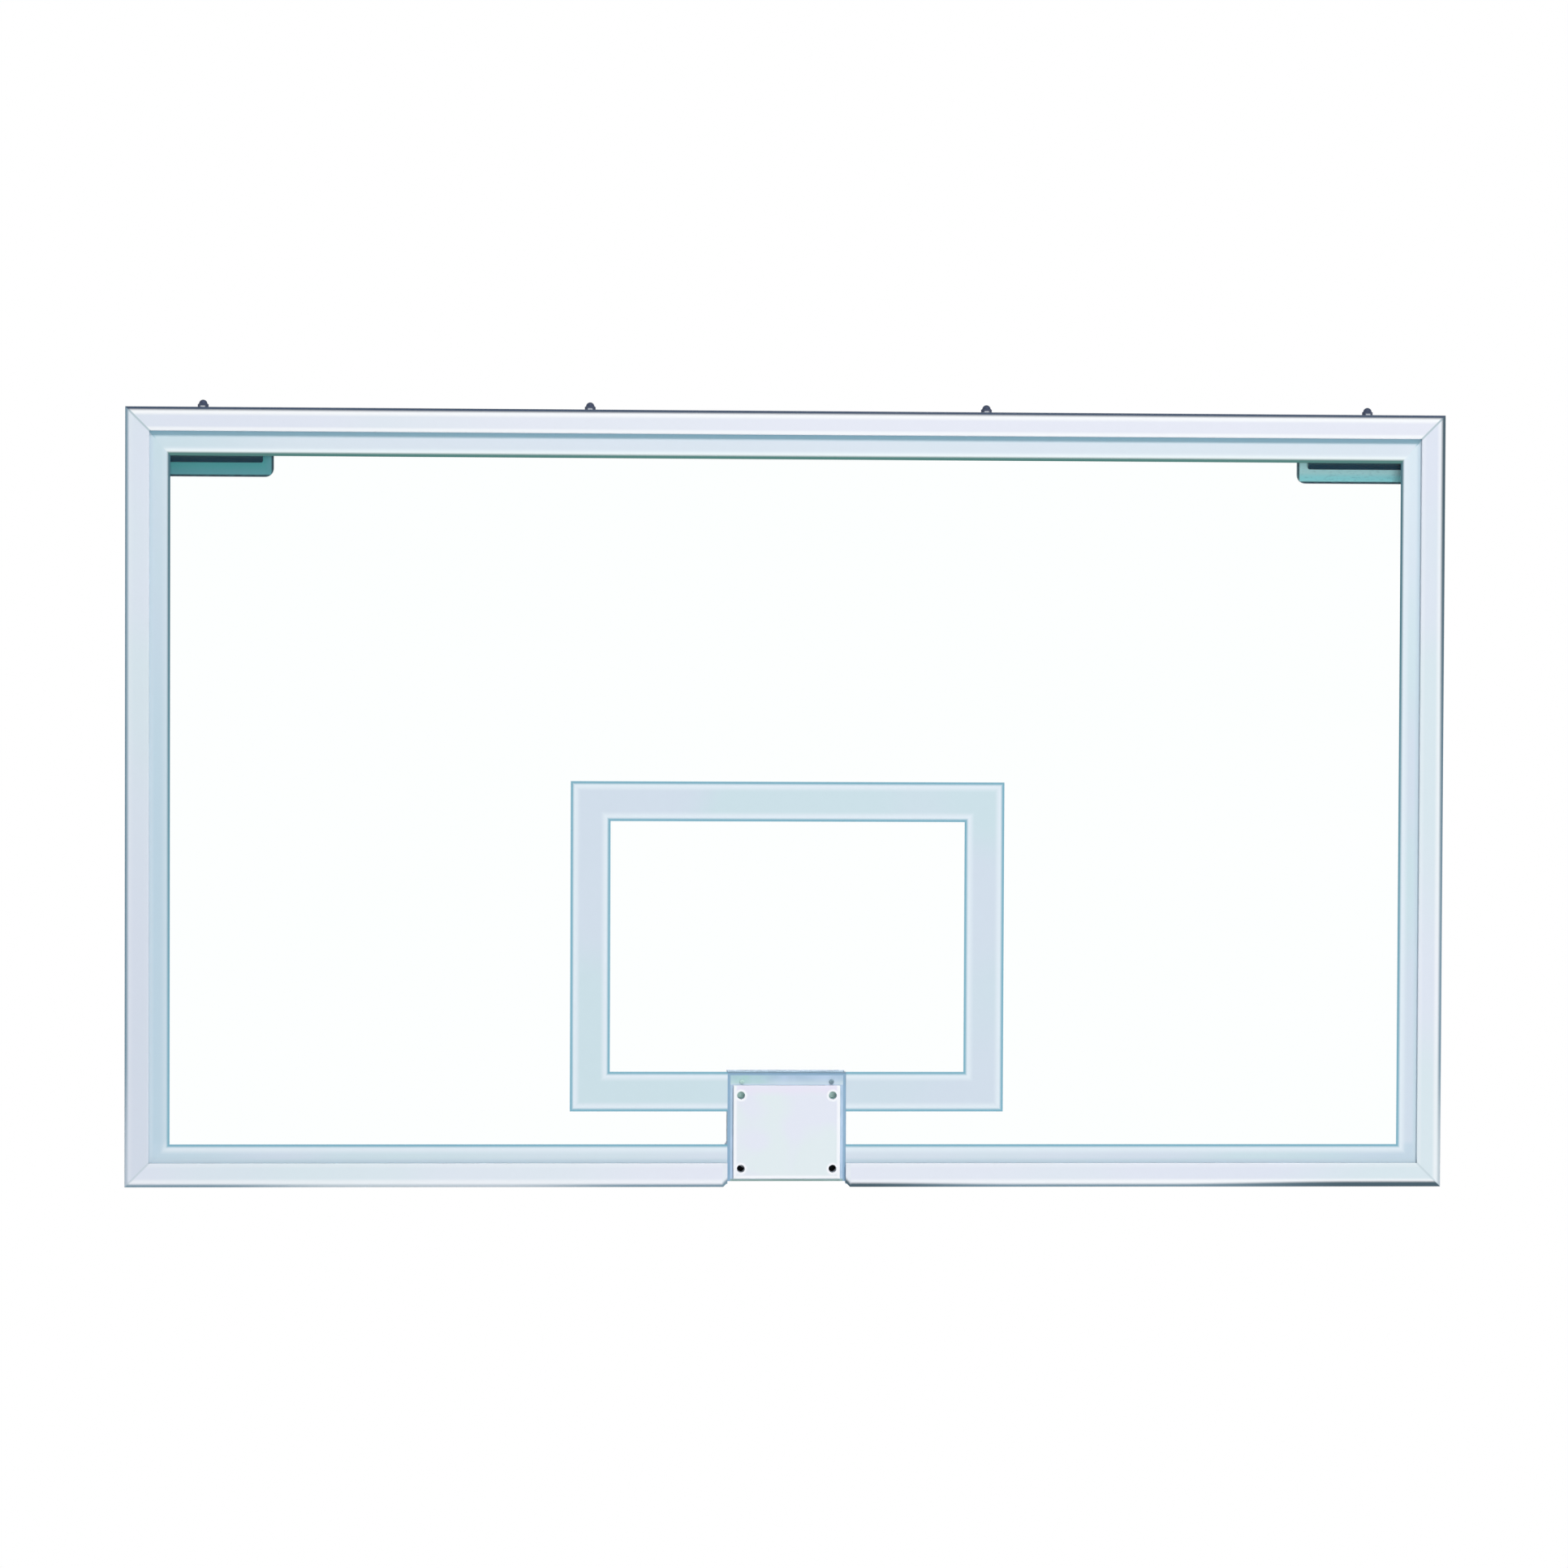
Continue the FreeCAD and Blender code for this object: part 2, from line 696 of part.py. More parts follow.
def joined(*shapes):
    whole = doc.addObject("Part::MultiFuse", "Joined")
    whole.Shapes = list(shapes)
    return whole


def drilled(shape, diameter, depth):
    cut = doc.addObject("Part::Cut", "Drilled")
    cut.Base = shape
    cut.Tool = primitive("Cylinder", "-cut_overrun", Radius=f"({diameter}) / 2", Height=f"{depth} + cut_overrun")
    return cut


def hex_bolt(length):
    shank = primitive("Cylinder", f"-({length})", Radius="bolt_diameter / 2", Height=f"{length} + bolt_head / 2")
    return joined(hexagon("bolt_flats", "bolt_head"), shank)


def ring(diameter, hole, height):
    rim = primitive("Cylinder", Radius=f"({diameter}) / 2", Height=height)
    return drilled(rim, hole, f"{height} + cut_overrun")


def hex_nut(flats, bore, height):
    return drilled(hexagon(flats, height), bore, f"{height} + cut_overrun")


# A screw with a round head and a hexagon socket, its sizes under names that begin alike.
def socket_screw(kind):
    height = f"{kind}_head_height"
    head = primitive("Cylinder", Radius=f"{kind}_head_diameter / 2", Height=height)
    shank = primitive(
        "Cylinder", f"-{kind}_length", Radius=f"{kind}_diameter / 2", Height=f"{kind}_length + {height} / 2")
    cut = doc.addObject("Part::Cut", "Screw")
    cut.Base = joined(head, shank)
    depth = f"{kind}_socket_depth"
    cut.Tool = hexagon(f"{kind}_socket", f"{depth} + cut_overrun", f"{height} - {depth}")
    return cut


def group(label, shape, rotation, spots):
    copies = []
    for spot in spots:
        copy = doc.addObject("App::Link", "Copy")
        copy.LinkedObject = shape
        place(copy, rotation, *spot)
        copies.append(copy)
    whole = doc.addObject("Part::Compound", label)
    whole.Label = label
    whole.Links = copies
    return whole


def standing(spots, depth):
    return [(across, depth, high) for across, high in spots]


def on_top_bolts(high):
    return [(along, "front_y + chamber_middle", high) for along in top_bolt_alongs]


cap_nut = joined(
    hexagon("bolt_flats", "cap_nut_hex"), primitive("Sphere", "cap_nut_hex", Radius="cap_nut_dome"))
cap_nut.Shapes[-1].Angle1 = 0
washer = ring("washer_diameter", "bolt_hole", "washer_thickness")
nut = hex_nut("bolt_flats", "bolt_bore", "nut_height")
sleeve = ring("bolt_hole + 2 * sleeve_wall", "bolt_hole", "chamber_edge - outer_wall")
square = primitive("Box", Length="plate_nut_side", Width="plate_nut_side", Height="plate_nut_thickness")
place(square, upward, "-plate_nut_side / 2", "-plate_nut_side / 2")
plate_nut = drilled(square, "bolt_bore", "plate_nut_thickness + cut_overrun")

under_angle = "angle_high - angle_wall - washer_thickness"
key_screw_spots = []
for mark in signs.values():
    for low, sign in (("frame_low", 1), ("frame_high", -1)):
        key_screw_spots.append((f"{mark}(frame_half - chamber_line)", f"{low} + {sign} * key_screw_place"))
        key_screw_spots.append((f"{mark}(frame_half - key_screw_place)", f"{low} + {sign} * chamber_line"))
low_rim_spots = mirrored_spots("rim_half", ["-rim_half_height"])
top_bolt = hex_bolt("2 * washer_thickness + angle_wall + lip_width + cap_nut_bore - bolt_tip")
hanger_bolt = hex_bolt("washer_thickness + plate_thickness + angle_wall + nut_height + bolt_tip")
wing_bolt = hex_bolt("washer_thickness + plate_thickness + frame_wall + plate_nut_thickness + bolt_tip")
fasteners = [
    group(
        "top_cap_nuts", drilled(cap_nut, "bolt_bore", "cap_nut_bore"), upward,
        on_top_bolts("frame_high + washer_thickness")),
    group("top_bolts", top_bolt, downward, on_top_bolts(under_angle)),
    group("top_washers", washer, upward, on_top_bolts("frame_high") + on_top_bolts(under_angle)),
    group("top_sleeves", sleeve, upward, on_top_bolts("frame_high - chamber_edge")),
    group("hanger_bolts", hanger_bolt, to_rear, standing(hanger_bolt_spots, "washer_thickness")),
    group("hanger_washers", washer, to_rear, standing(hanger_bolt_spots, "0")),
    group(
        "hanger_nuts", nut, to_rear,
        standing(hanger_bolt_spots, "-plate_thickness - angle_wall - nut_height")),
    group("back_plate_bolts", wing_bolt, to_rear, standing(wing_spots, "washer_thickness")),
    group("back_plate_washers", washer, to_rear, standing(wing_spots, "0")),
    group(
        "rail_plate_nuts", plate_nut, to_rear,
        standing(wing_spots, "front_y + chamber_back - plate_nut_thickness")),
    group("corner_key_screws", socket_screw("screw"), to_rear, standing(key_screw_spots, "-plate_thickness")),
    group(
        "anchor_screws", socket_screw("anchor_screw"), to_front,
        standing(anchor_screw_spots, "front_y + box_front")),
    group(
        "rim_weld_nuts", hex_nut("rim_nut_flats", "rim_thread", "rim_nut_height"),
        to_rear.multiply(hex_turned), standing(low_rim_spots, "front_y + anchor_front")),
    group(
        "mast_weld_nuts", hex_nut("mast_nut_flats", "mast_thread", "mast_nut_height"),
        to_rear.multiply(hex_turned), standing(mast_spots, "-plate_thickness - mast_nut_height")),
]

pieces = rails + gaskets + caps + keys + hangers + nut_bars + fasteners
pieces += [glass, border, target, face, box, strip, weld, anchor, back, angle]
doc.recompute()
for item in doc.Objects:
    if "Invalid" in item.State or "Error" in item.State:
        raise RuntimeError(f"{item.Label} did not build")
os.makedirs("parts", exist_ok=True)
for piece in pieces:
    if piece.Shape.isNull() or not piece.Shape.isValid() or not piece.Shape.Solids:
        raise RuntimeError(f"{piece.Label} is not a sound solid")
    piece.Shape.exportStep(f"parts/{piece.Label}.step")
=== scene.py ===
import math

import bmesh
import bpy
from mathutils import Euler, Matrix, Vector


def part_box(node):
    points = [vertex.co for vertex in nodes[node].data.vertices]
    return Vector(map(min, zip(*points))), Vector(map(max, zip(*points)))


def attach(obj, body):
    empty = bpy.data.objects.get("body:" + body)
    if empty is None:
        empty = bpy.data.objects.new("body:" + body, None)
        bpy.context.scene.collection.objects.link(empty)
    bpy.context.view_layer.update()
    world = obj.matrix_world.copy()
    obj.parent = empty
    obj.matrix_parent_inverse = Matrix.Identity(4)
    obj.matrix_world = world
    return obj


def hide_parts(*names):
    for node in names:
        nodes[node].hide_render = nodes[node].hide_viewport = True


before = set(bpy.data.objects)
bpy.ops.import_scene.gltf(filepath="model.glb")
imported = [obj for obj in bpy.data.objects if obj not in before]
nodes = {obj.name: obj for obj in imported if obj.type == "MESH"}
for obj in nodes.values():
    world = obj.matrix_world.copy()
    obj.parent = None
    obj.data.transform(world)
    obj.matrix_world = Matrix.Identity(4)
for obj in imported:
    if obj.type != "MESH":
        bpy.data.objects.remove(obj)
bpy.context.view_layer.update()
print("frame loaded,", len(nodes), "nodes")

# Places that the finishes follow, read from the frame
sideLow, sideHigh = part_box("left_rail")
topLow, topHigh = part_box("top_rail")
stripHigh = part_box("notch_strip")[1]
faceLow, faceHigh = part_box("rim_face_plate")
boxLow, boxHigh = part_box("goal_box")
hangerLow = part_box("right_hanger_plate")[0]
halfWidth = topHigh.x
halfHeight = (sideHigh.z - sideLow.z) / 2
midHeight = (sideHigh.z + sideLow.z) / 2
lipWidth = topHigh.z - topLow.z

# Spans over which a finish changes: behind the front, across a mitre and across the middle of the board
frontSkin = [topLow.y + depth for depth in (0.0008, 0.0032)]
mitreStep = (-0.0005, 0.0005)
middleStep = (-0.001, 0.001)


def tone(*levels):                               # 0 to 255 as on a screen, made linear
    shares = [level / 255 for level in levels]
    return tuple(s / 12.92 if s < 0.04 else ((s + 0.055) / 1.055) ** 2.4 for s in shares)


class Shade:                                     # one socket of a node tree, operators add Math nodes
    def __init__(self, tree, socket=None):
        self.tree = tree
        self.socket = socket

    def node(self, kind, settings=None, sockets=None, out=0):
        made = self.tree.nodes.new(kind)
        for key, value in (settings or {}).items():
            setattr(made, key, value)
        for key, value in (sockets or {}).items():
            target = made.inputs[key]
            if isinstance(value, Shade):
                self.tree.links.new(value.socket, target)
            else:
                target.default_value = (*value, 1) if target.type == "RGBA" else value
        return Shade(self.tree, made.outputs[out] if made.outputs else None)

    def math(self, operation, *values):
        return self.node("ShaderNodeMath", {"operation": operation}, dict(enumerate(values)))

    def __add__(self, other):
        return self.math("ADD", self, other)

    def __sub__(self, other):
        return self.math("SUBTRACT", self, other)

    def __rsub__(self, other):
        return self.math("SUBTRACT", other, self)

    def __mul__(self, other):
        return self.math("MULTIPLY", self, other)

    def __abs__(self):
        return self.math("ABSOLUTE", self)

    __radd__ = __add__
    __rmul__ = __mul__

    def least(self, other):
        return self.math("MINIMUM", self, other)

    def most(self, other):
        return self.math("MAXIMUM", self, other)

    def pick(self, name):                        # another output of the same node
        return Shade(self.tree, self.socket.node.outputs[name])

    def part(self, axis):                        # X, Y or Z of a vector
        return self.node("ShaderNodeSeparateXYZ", None, {"Vector": self}).pick(axis)

    def fade(self, near, far):                   # 1 up to near, 0 from far on
        ends = {"Value": self, "From Min": near, "From Max": far, "To Min": 1, "To Max": 0}
        return self.node("ShaderNodeMapRange", {"interpolation_type": "SMOOTHSTEP"}, ends)

    def level(self, start, change):              # start where this is 0, start + change where it is 1
        return start + change * self

    def tint(self, first, second, share):        # mixes two colours, each a socket or screen levels
        first, second = [end if isinstance(end, Shade) else tone(*end) for end in (first, second)]
        return self.node("ShaderNodeMix", {"data_type": "RGBA"}, {0: share, 6: first, 7: second}, 2)

    def noise(self, scale, detail):
        return self.node("ShaderNodeTexNoise", None, {"Vector": self, "Scale": scale, "Detail": detail})

    def stretched(self, across, deep, high):
        return self.node("ShaderNodeMapping", None, {"Vector": self, "Scale": (across, deep, high)})

    def relief(self, strength, distance):
        sockets = {"Height": self, "Strength": strength, "Distance": distance}
        return self.node("ShaderNodeBump", None, sockets)


def newFinish(name):
    material = bpy.data.materials.new(name)
    material.use_nodes = True
    material.node_tree.nodes.clear()
    return material, Shade(material.node_tree).node("ShaderNodeTexCoord", out="Object")


def coat(shade, sockets):
    shader = shade.node("ShaderNodeBsdfPrincipled", None, sockets)
    shade.node("ShaderNodeOutputMaterial", None, {"Surface": shader})


def dress(material, *names):
    for name in names:
        nodes[name].data.materials.clear()
        nodes[name].data.materials.append(material)


# Camera and stage
cameraSetup = {
    "place": (-0.2667, -6.0, 0.6079),
    "turn": (88.7834, -0.2433, -2.5079),         # degrees
    "lens": 98.9,
    "sensor": 36.0,
}
cameraData = bpy.data.cameras.new("camera")
cameraData.lens = cameraSetup["lens"]
cameraData.sensor_width = cameraSetup["sensor"]
camera = bpy.data.objects.new("camera", cameraData)
camera.location = cameraSetup["place"]
camera.rotation_euler = Euler([math.radians(angle) for angle in cameraSetup["turn"]])
bpy.context.scene.collection.objects.link(camera)
bpy.context.scene.camera = camera
bpy.context.scene.view_settings.view_transform = "Standard"

stage = {
    "drop": 2.9,                                 # the board's height over the court
    "reach": 40.0,
    "floorTone": (226, 228, 230),
    "floorRough": 0.9,
    "white": (255, 255, 255),
    "nearWhite": 0.72,                           # share of plain white in what the camera sees of the floor
    "whiteFrom": (4.0, 11.0),                    # further out the floor is all white, so no horizon shows
    "skyTone": (250, 252, 255),
    "skyLight": 0.24,
}


def seenRays(shade):                             # rays that should meet a white background
    path = shade.node("ShaderNodeLightPath", out="Is Camera Ray")
    seen = path.most(path.pick("Is Glossy Ray")).most(path.pick("Is Transmission Ray"))
    return seen * (1 - path.pick("Diffuse Depth").least(1))   # but not where they light a matt surface


world = bpy.data.worlds.new("studio")
world.use_nodes = True
world.node_tree.nodes.clear()
skyShade = Shade(world.node_tree)
skySeen = seenRays(skyShade)
skyStrength = skySeen.level(stage["skyLight"], 1 - stage["skyLight"])
skyColour = skyShade.tint(stage["skyTone"], stage["white"], skySeen)
skyLight = skyShade.node("ShaderNodeBackground", None, {"Color": skyColour, "Strength": skyStrength})
skyShade.node("ShaderNodeOutputWorld", None, {"Surface": skyLight})
bpy.context.scene.world = world

floorMesh = bpy.data.meshes.new("floor")
floorForm = bmesh.new()
bmesh.ops.create_grid(floorForm, x_segments=1, y_segments=1, size=stage["reach"])
bmesh.ops.translate(floorForm, verts=floorForm.verts, vec=(0, 0, sideLow.z - stage["drop"]))
floorForm.to_mesh(floorMesh)
floorForm.free()
floor = bpy.data.objects.new("floor", floorMesh)
bpy.context.scene.collection.objects.link(floor)
floorPaint, where = newFinish("floorPaint")
floorSockets = {"Base Color": tone(*stage["floorTone"]), "Roughness": stage["floorRough"]}
floorCoat = where.node("ShaderNodeBsdfPrincipled", None, floorSockets)
floorGlow = where.node("ShaderNodeEmission", None, {"Color": tone(*stage["white"])})
farOut = where.node("ShaderNodeVectorMath", {"operation": "LENGTH"}, {0: where}, "Value")
floorShare = seenRays(where) * farOut.fade(*stage["whiteFrom"]).level(1, stage["nearWhite"] - 1)
floorLook = where.node("ShaderNodeMixShader", None, {0: floorShare, 1: floorCoat, 2: floorGlow})
where.node("ShaderNodeOutputMaterial", None, {"Surface": floorLook})
floorMesh.materials.append(floorPaint)

lamps = {
    "keyLamp": {"place": (1.7, -8.4, 9.3), "size": 2.1, "power": 590},
    "fillLamp": {"place": (0.6, -7.0, 0.3), "size": 2.6, "power": 175},
    "rearLamp": {"place": (-2.6, 6.0, 5.4), "size": 3.0, "power": 390},
    "leftLamp": {"place": (-6.0, 1.3, 1.6), "size": 2.2, "power": 60},
    "rightLamp": {"place": (6.0, 1.3, 1.6), "size": 2.2, "power": 95},
}
for name, lamp in lamps.items():
    lampData = bpy.data.lights.new(name, "AREA")
    lampData.size = lamp["size"]
    lampData.energy = lamp["power"]
    lampObject = bpy.data.objects.new(name, lampData)
    lampObject.location = lamp["place"]
    lampObject.visible_glossy = name == "keyLamp"   # no square glare of the others in the glass
    lampObject.visible_transmission = False      # nor of any lamp through it
    aim = Vector((0, 0, midHeight)) - lampObject.location
    lampObject.rotation_euler = aim.to_track_quat("-Z", "Y").to_euler()
    bpy.context.scene.collection.objects.link(lampObject)
print("camera and stage set")

# Frame rails: satin powder coat with painted light and shade by side, painted highlights along both edges
# of the lip, mitre joints, and a painted shade line along the outer edge.
# Here and below a cloud, skin or grain is a noise's scale and detail, and a pair named share or rough is
# the value where its mask is 0 and what is added where the mask is 1.
railPaint = {
    "face": (224, 230, 242),
    "cool": (218, 232, 238),
    "cloud": (2.6, 1.0),
    "cloudSpan": (0.4, 0.62),
    # painted light: paler on top and along the middle of the lower rails, darker low on the left
    "top": (234, 236, 246),
    "topFrom": (-0.85, -0.35),                   # less at the top's left end
    "topShare": (0.75, -0.65),
    "lowFrom": (0.15, 0.8),                      # and on the lower rails towards the box
    "lowShare": 0.5,
    "leftLow": (206, 215, 228),
    "leftLowFrom": (0.0, 0.9),
    "leftLowShare": 0.6,
    # painted highlights along the lip's outer and inner edges
    "pale": (250, 252, 254),
    "outerBand": (0.0075, 0.013),                # pale towards the outer edge, most on top and lower right
    "outerShare": (0.55, 0.45),
    "lowRightFrom": (0.0, 0.85),
    "innerBand": (0.003, 0.0075),                # and towards the glass
    "innerShare": (0.2, 0.6),
    "leftShare": (1, -0.8),                      # least on the left
    # painted shade line along the outer edge, darkest on top
    "edge": (118, 146, 162),
    "darkEdge": (58, 82, 94),                    # high on the right, and along the lower right
    "topEdge": (42, 62, 88),
    "edgeLine": (0.0018, 0.0064),
    "topThicker": 0.0003,
    "highThicker": 0.001,                        # the edge's line grows high on the right
    "highFrom": (0.2, 0.95),
    "lowThicker": 0.0032,                        # and at the lower edge's right end
    "lowEnd": (0.52, 0.8),
    "besideBox": (0.1, 0.32),                    # it is dark close to the box as well
    "besideShare": 0.5,
    "faintMiddle": -0.5,                         # and faint about here on the lower edge
    "faintSpan": (0.1, 0.3),
    "sideFaint": (-0.05, 0.12),                  # as it is low down at the sides
    "faintShare": (1, -0.5),
    "joint": (184, 201, 208),
    "jointLine": (0.0009, 0.0027),
    "jointFrom": (0.0, 0.9),                     # fainter below
    "jointShare": (1, -0.5),
    "jointDepth": 1.6,
    "roughCloud": (22, 3.0),
    "rough": (0.34, 0.16),
    "grain": (850, 1.0),
    "relief": (0.12, 0.0003),
}
railFinish, where = newFinish("railFinish")
x, y, z = [where.part(axis) for axis in "XYZ"]
fromSide = halfWidth - abs(x)
fromEnd = halfHeight - abs(z - midHeight)
inFromEdge = fromSide.least(fromEnd)
joint = abs(fromSide - fromEnd).fade(*railPaint["jointLine"])
onFront = y.fade(*frontSkin)
onLeft = (fromSide - fromEnd).fade(*mitreStep) * x.fade(*middleStep)
across = (fromEnd - fromSide).fade(*mitreStep)
onTop = across * (midHeight - z).fade(*middleStep)
below = across * (z - midHeight).fade(*middleStep)
onRight = 1 - onLeft - onTop - below
highRight = onRight * (1 - z.fade(*railPaint["highFrom"]))
lowRight = below * (1 - x.fade(*railPaint["lowRightFrom"]))
lowEnd = below * (1 - x.fade(*railPaint["lowEnd"]))
besideBox = below * (1 - x.fade(*middleStep)) * x.fade(*railPaint["besideBox"])
# painted highlights along both edges of the lip
pale = inFromEdge.fade(*railPaint["outerBand"]) * onTop.most(lowRight).level(*railPaint["outerShare"])
innerPale = (lipWidth - inFromEdge).fade(*railPaint["innerBand"]) * onTop.level(*railPaint["innerShare"])
pale = pale.most(innerPale) * onLeft.level(*railPaint["leftShare"])
faint = below * abs(x - railPaint["faintMiddle"]).fade(*railPaint["faintSpan"])
faint = faint.most((onLeft + onRight) * z.fade(*railPaint["sideFaint"]))
# painted shade line along the outer edge
edgeTone = where.tint(railPaint["edge"], railPaint["darkEdge"], lowEnd.most(besideBox) + highRight)
edgeTone = where.tint(edgeTone, railPaint["topEdge"], onTop)
edgeSpan = inFromEdge - railPaint["topThicker"] * onTop - railPaint["highThicker"] * highRight
edgeSpan = edgeSpan - railPaint["lowThicker"] * lowEnd.most(railPaint["besideShare"] * besideBox)
edgeShare = edgeSpan.fade(*railPaint["edgeLine"]) * onFront * faint.level(*railPaint["faintShare"])
# painted light and shade by side
topShare = onTop * x.fade(*railPaint["topFrom"]).level(*railPaint["topShare"])
lowShare = below * railPaint["lowShare"] * abs(x).fade(*railPaint["lowFrom"])
leftLowShare = onLeft * railPaint["leftLowShare"] * z.fade(*railPaint["leftLowFrom"])
jointShare = joint * z.fade(*railPaint["jointFrom"]).level(*railPaint["jointShare"])
cloud = where.noise(*railPaint["cloud"]).fade(*railPaint["cloudSpan"])
colour = where.tint(railPaint["face"], railPaint["cool"], cloud)
colour = where.tint(colour, railPaint["top"], topShare)
colour = where.tint(colour, railPaint["top"], lowShare)
colour = where.tint(colour, railPaint["leftLow"], leftLowShare)
colour = where.tint(colour, railPaint["pale"], pale * onFront)
colour = where.tint(colour, railPaint["joint"], jointShare)
colour = where.tint(colour, edgeTone, edgeShare)
peel = where.noise(*railPaint["grain"])
coat(where, {
    "Base Color": colour,
    "Roughness": where.noise(*railPaint["roughCloud"]).level(*railPaint["rough"]),
    "Normal": (peel - joint * railPaint["jointDepth"]).relief(*railPaint["relief"]),
})
dress(railFinish, "top_rail", "left_rail", "right_rail", "bottom_left_rail", "bottom_right_rail")

# End caps: moulded plastic in the frame's colour, with the rails' painted shade line along the edge
capPaint = {
    "face": (222, 229, 240),
    "pale": (238, 242, 247),
    "cloud": (60, 2.0),
    "chamfer": 0.006,
    "roughCloud": (300, 2.0),
    "rough": (0.42, 0.12),
    "grain": (1500, 1.0),
    "relief": (0.15, 0.0002),
}
capFinish, where = newFinish("capFinish")
x, y, z = [where.part(axis) for axis in "XYZ"]
fromLow = z - sideLow.z
fromSlope = (abs(x) - stripHigh.x + fromLow - capPaint["chamfer"]) * math.cos(math.radians(45))
# painted shade line along the lower and sloped edges
edgeShare = fromLow.least(fromSlope).fade(*railPaint["edgeLine"]) * y.fade(*frontSkin)
edgeTone = where.tint(railPaint["darkEdge"], railPaint["edge"], x.fade(*middleStep))
colour = where.tint(capPaint["face"], capPaint["pale"], where.noise(*capPaint["cloud"]))
coat(where, {
    "Base Color": where.tint(colour, edgeTone, edgeShare),
    "Roughness": where.noise(*capPaint["roughCloud"]).level(*capPaint["rough"]),
    "Normal": where.noise(*capPaint["grain"]).relief(*capPaint["relief"]),
})
dress(capFinish, "left_end_cap", "right_end_cap")

# Lines printed on the front of the glass, with a thin dark line painted along their edges as shade
linePrint = {
    "film": 0.00015,
    "gap": 0.00003,                              # clear of the glass, so that both surfaces show
    "face": (211, 223, 235),
    "cool": (205, 225, 232),
    "cloud": (3.4, 1.0),
    "cloudSpan": (0.42, 0.6),
    "leftSpan": (-0.86, -0.84),                  # where the border's four sides begin
    "rightSpan": (0.84, 0.86),
    "topSpan": (0.4, 0.42),                      # over the middle height
    "lowSpan": (-0.02, -0.012),
    "leftStep": (-0.012, 0.012),
    # painted light and shade by side: darker and bluer on the left, paler high on the right and on top,
    # darker at the lower ends
    "left": (191, 213, 226),
    "leftFrom": (0.35, 1.05),                    # deeper blue below
    "rightHigh": (226, 239, 246),
    "rightFrom": (0.4, 1.0),
    "rightShare": (0.7, -0.7),
    "top": (222, 231, 240),
    "topFrom": (-0.86, -0.66),
    "topShare": (0.8, -0.65),
    "lowFrom": (0.25, 0.75),                     # the top's colour along the bottom, towards the box
    "lowShare": 0.45,
    "lowEnd": (196, 216, 229),
    "lowEndFrom": (0.66, 0.86),
    "lowEndShare": (0.7, -0.7),
    # painted highlights along the edges
    "pale": (226, 237, 245),                     # along both edges, least on the left
    "paleBand": (0.0065, 0.0145),
    "paleShare": (1, -0.75),
    "topPale": (246, 253, 253),
    "topPaleBand": (0.005, 0.012),
    "topPaleShare": 0.8,
    "lipShade": (204, 221, 231),                  # painted shade where the glass meets the frame's lip, and painted shadow under the top lip
    "topLip": (152, 192, 208),
    "lipLine": (0.002, 0.0075),
    "topLipWider": 0.0018,
    # painted shade line along the edges
    "edge": (126, 178, 197),
    "highEdge": (60, 102, 114),                  # the edge darkens with height
    "topEdge": (72, 120, 115),
    "edgeLine": (0.0016, 0.0058),
    "topThicker": 0.0012,
    "roughCloud": (40, 2.0),
    "rough": (0.46, 0.1),
    "grain": (2200, 1.0),
    "relief": (0.08, 0.0001),
}


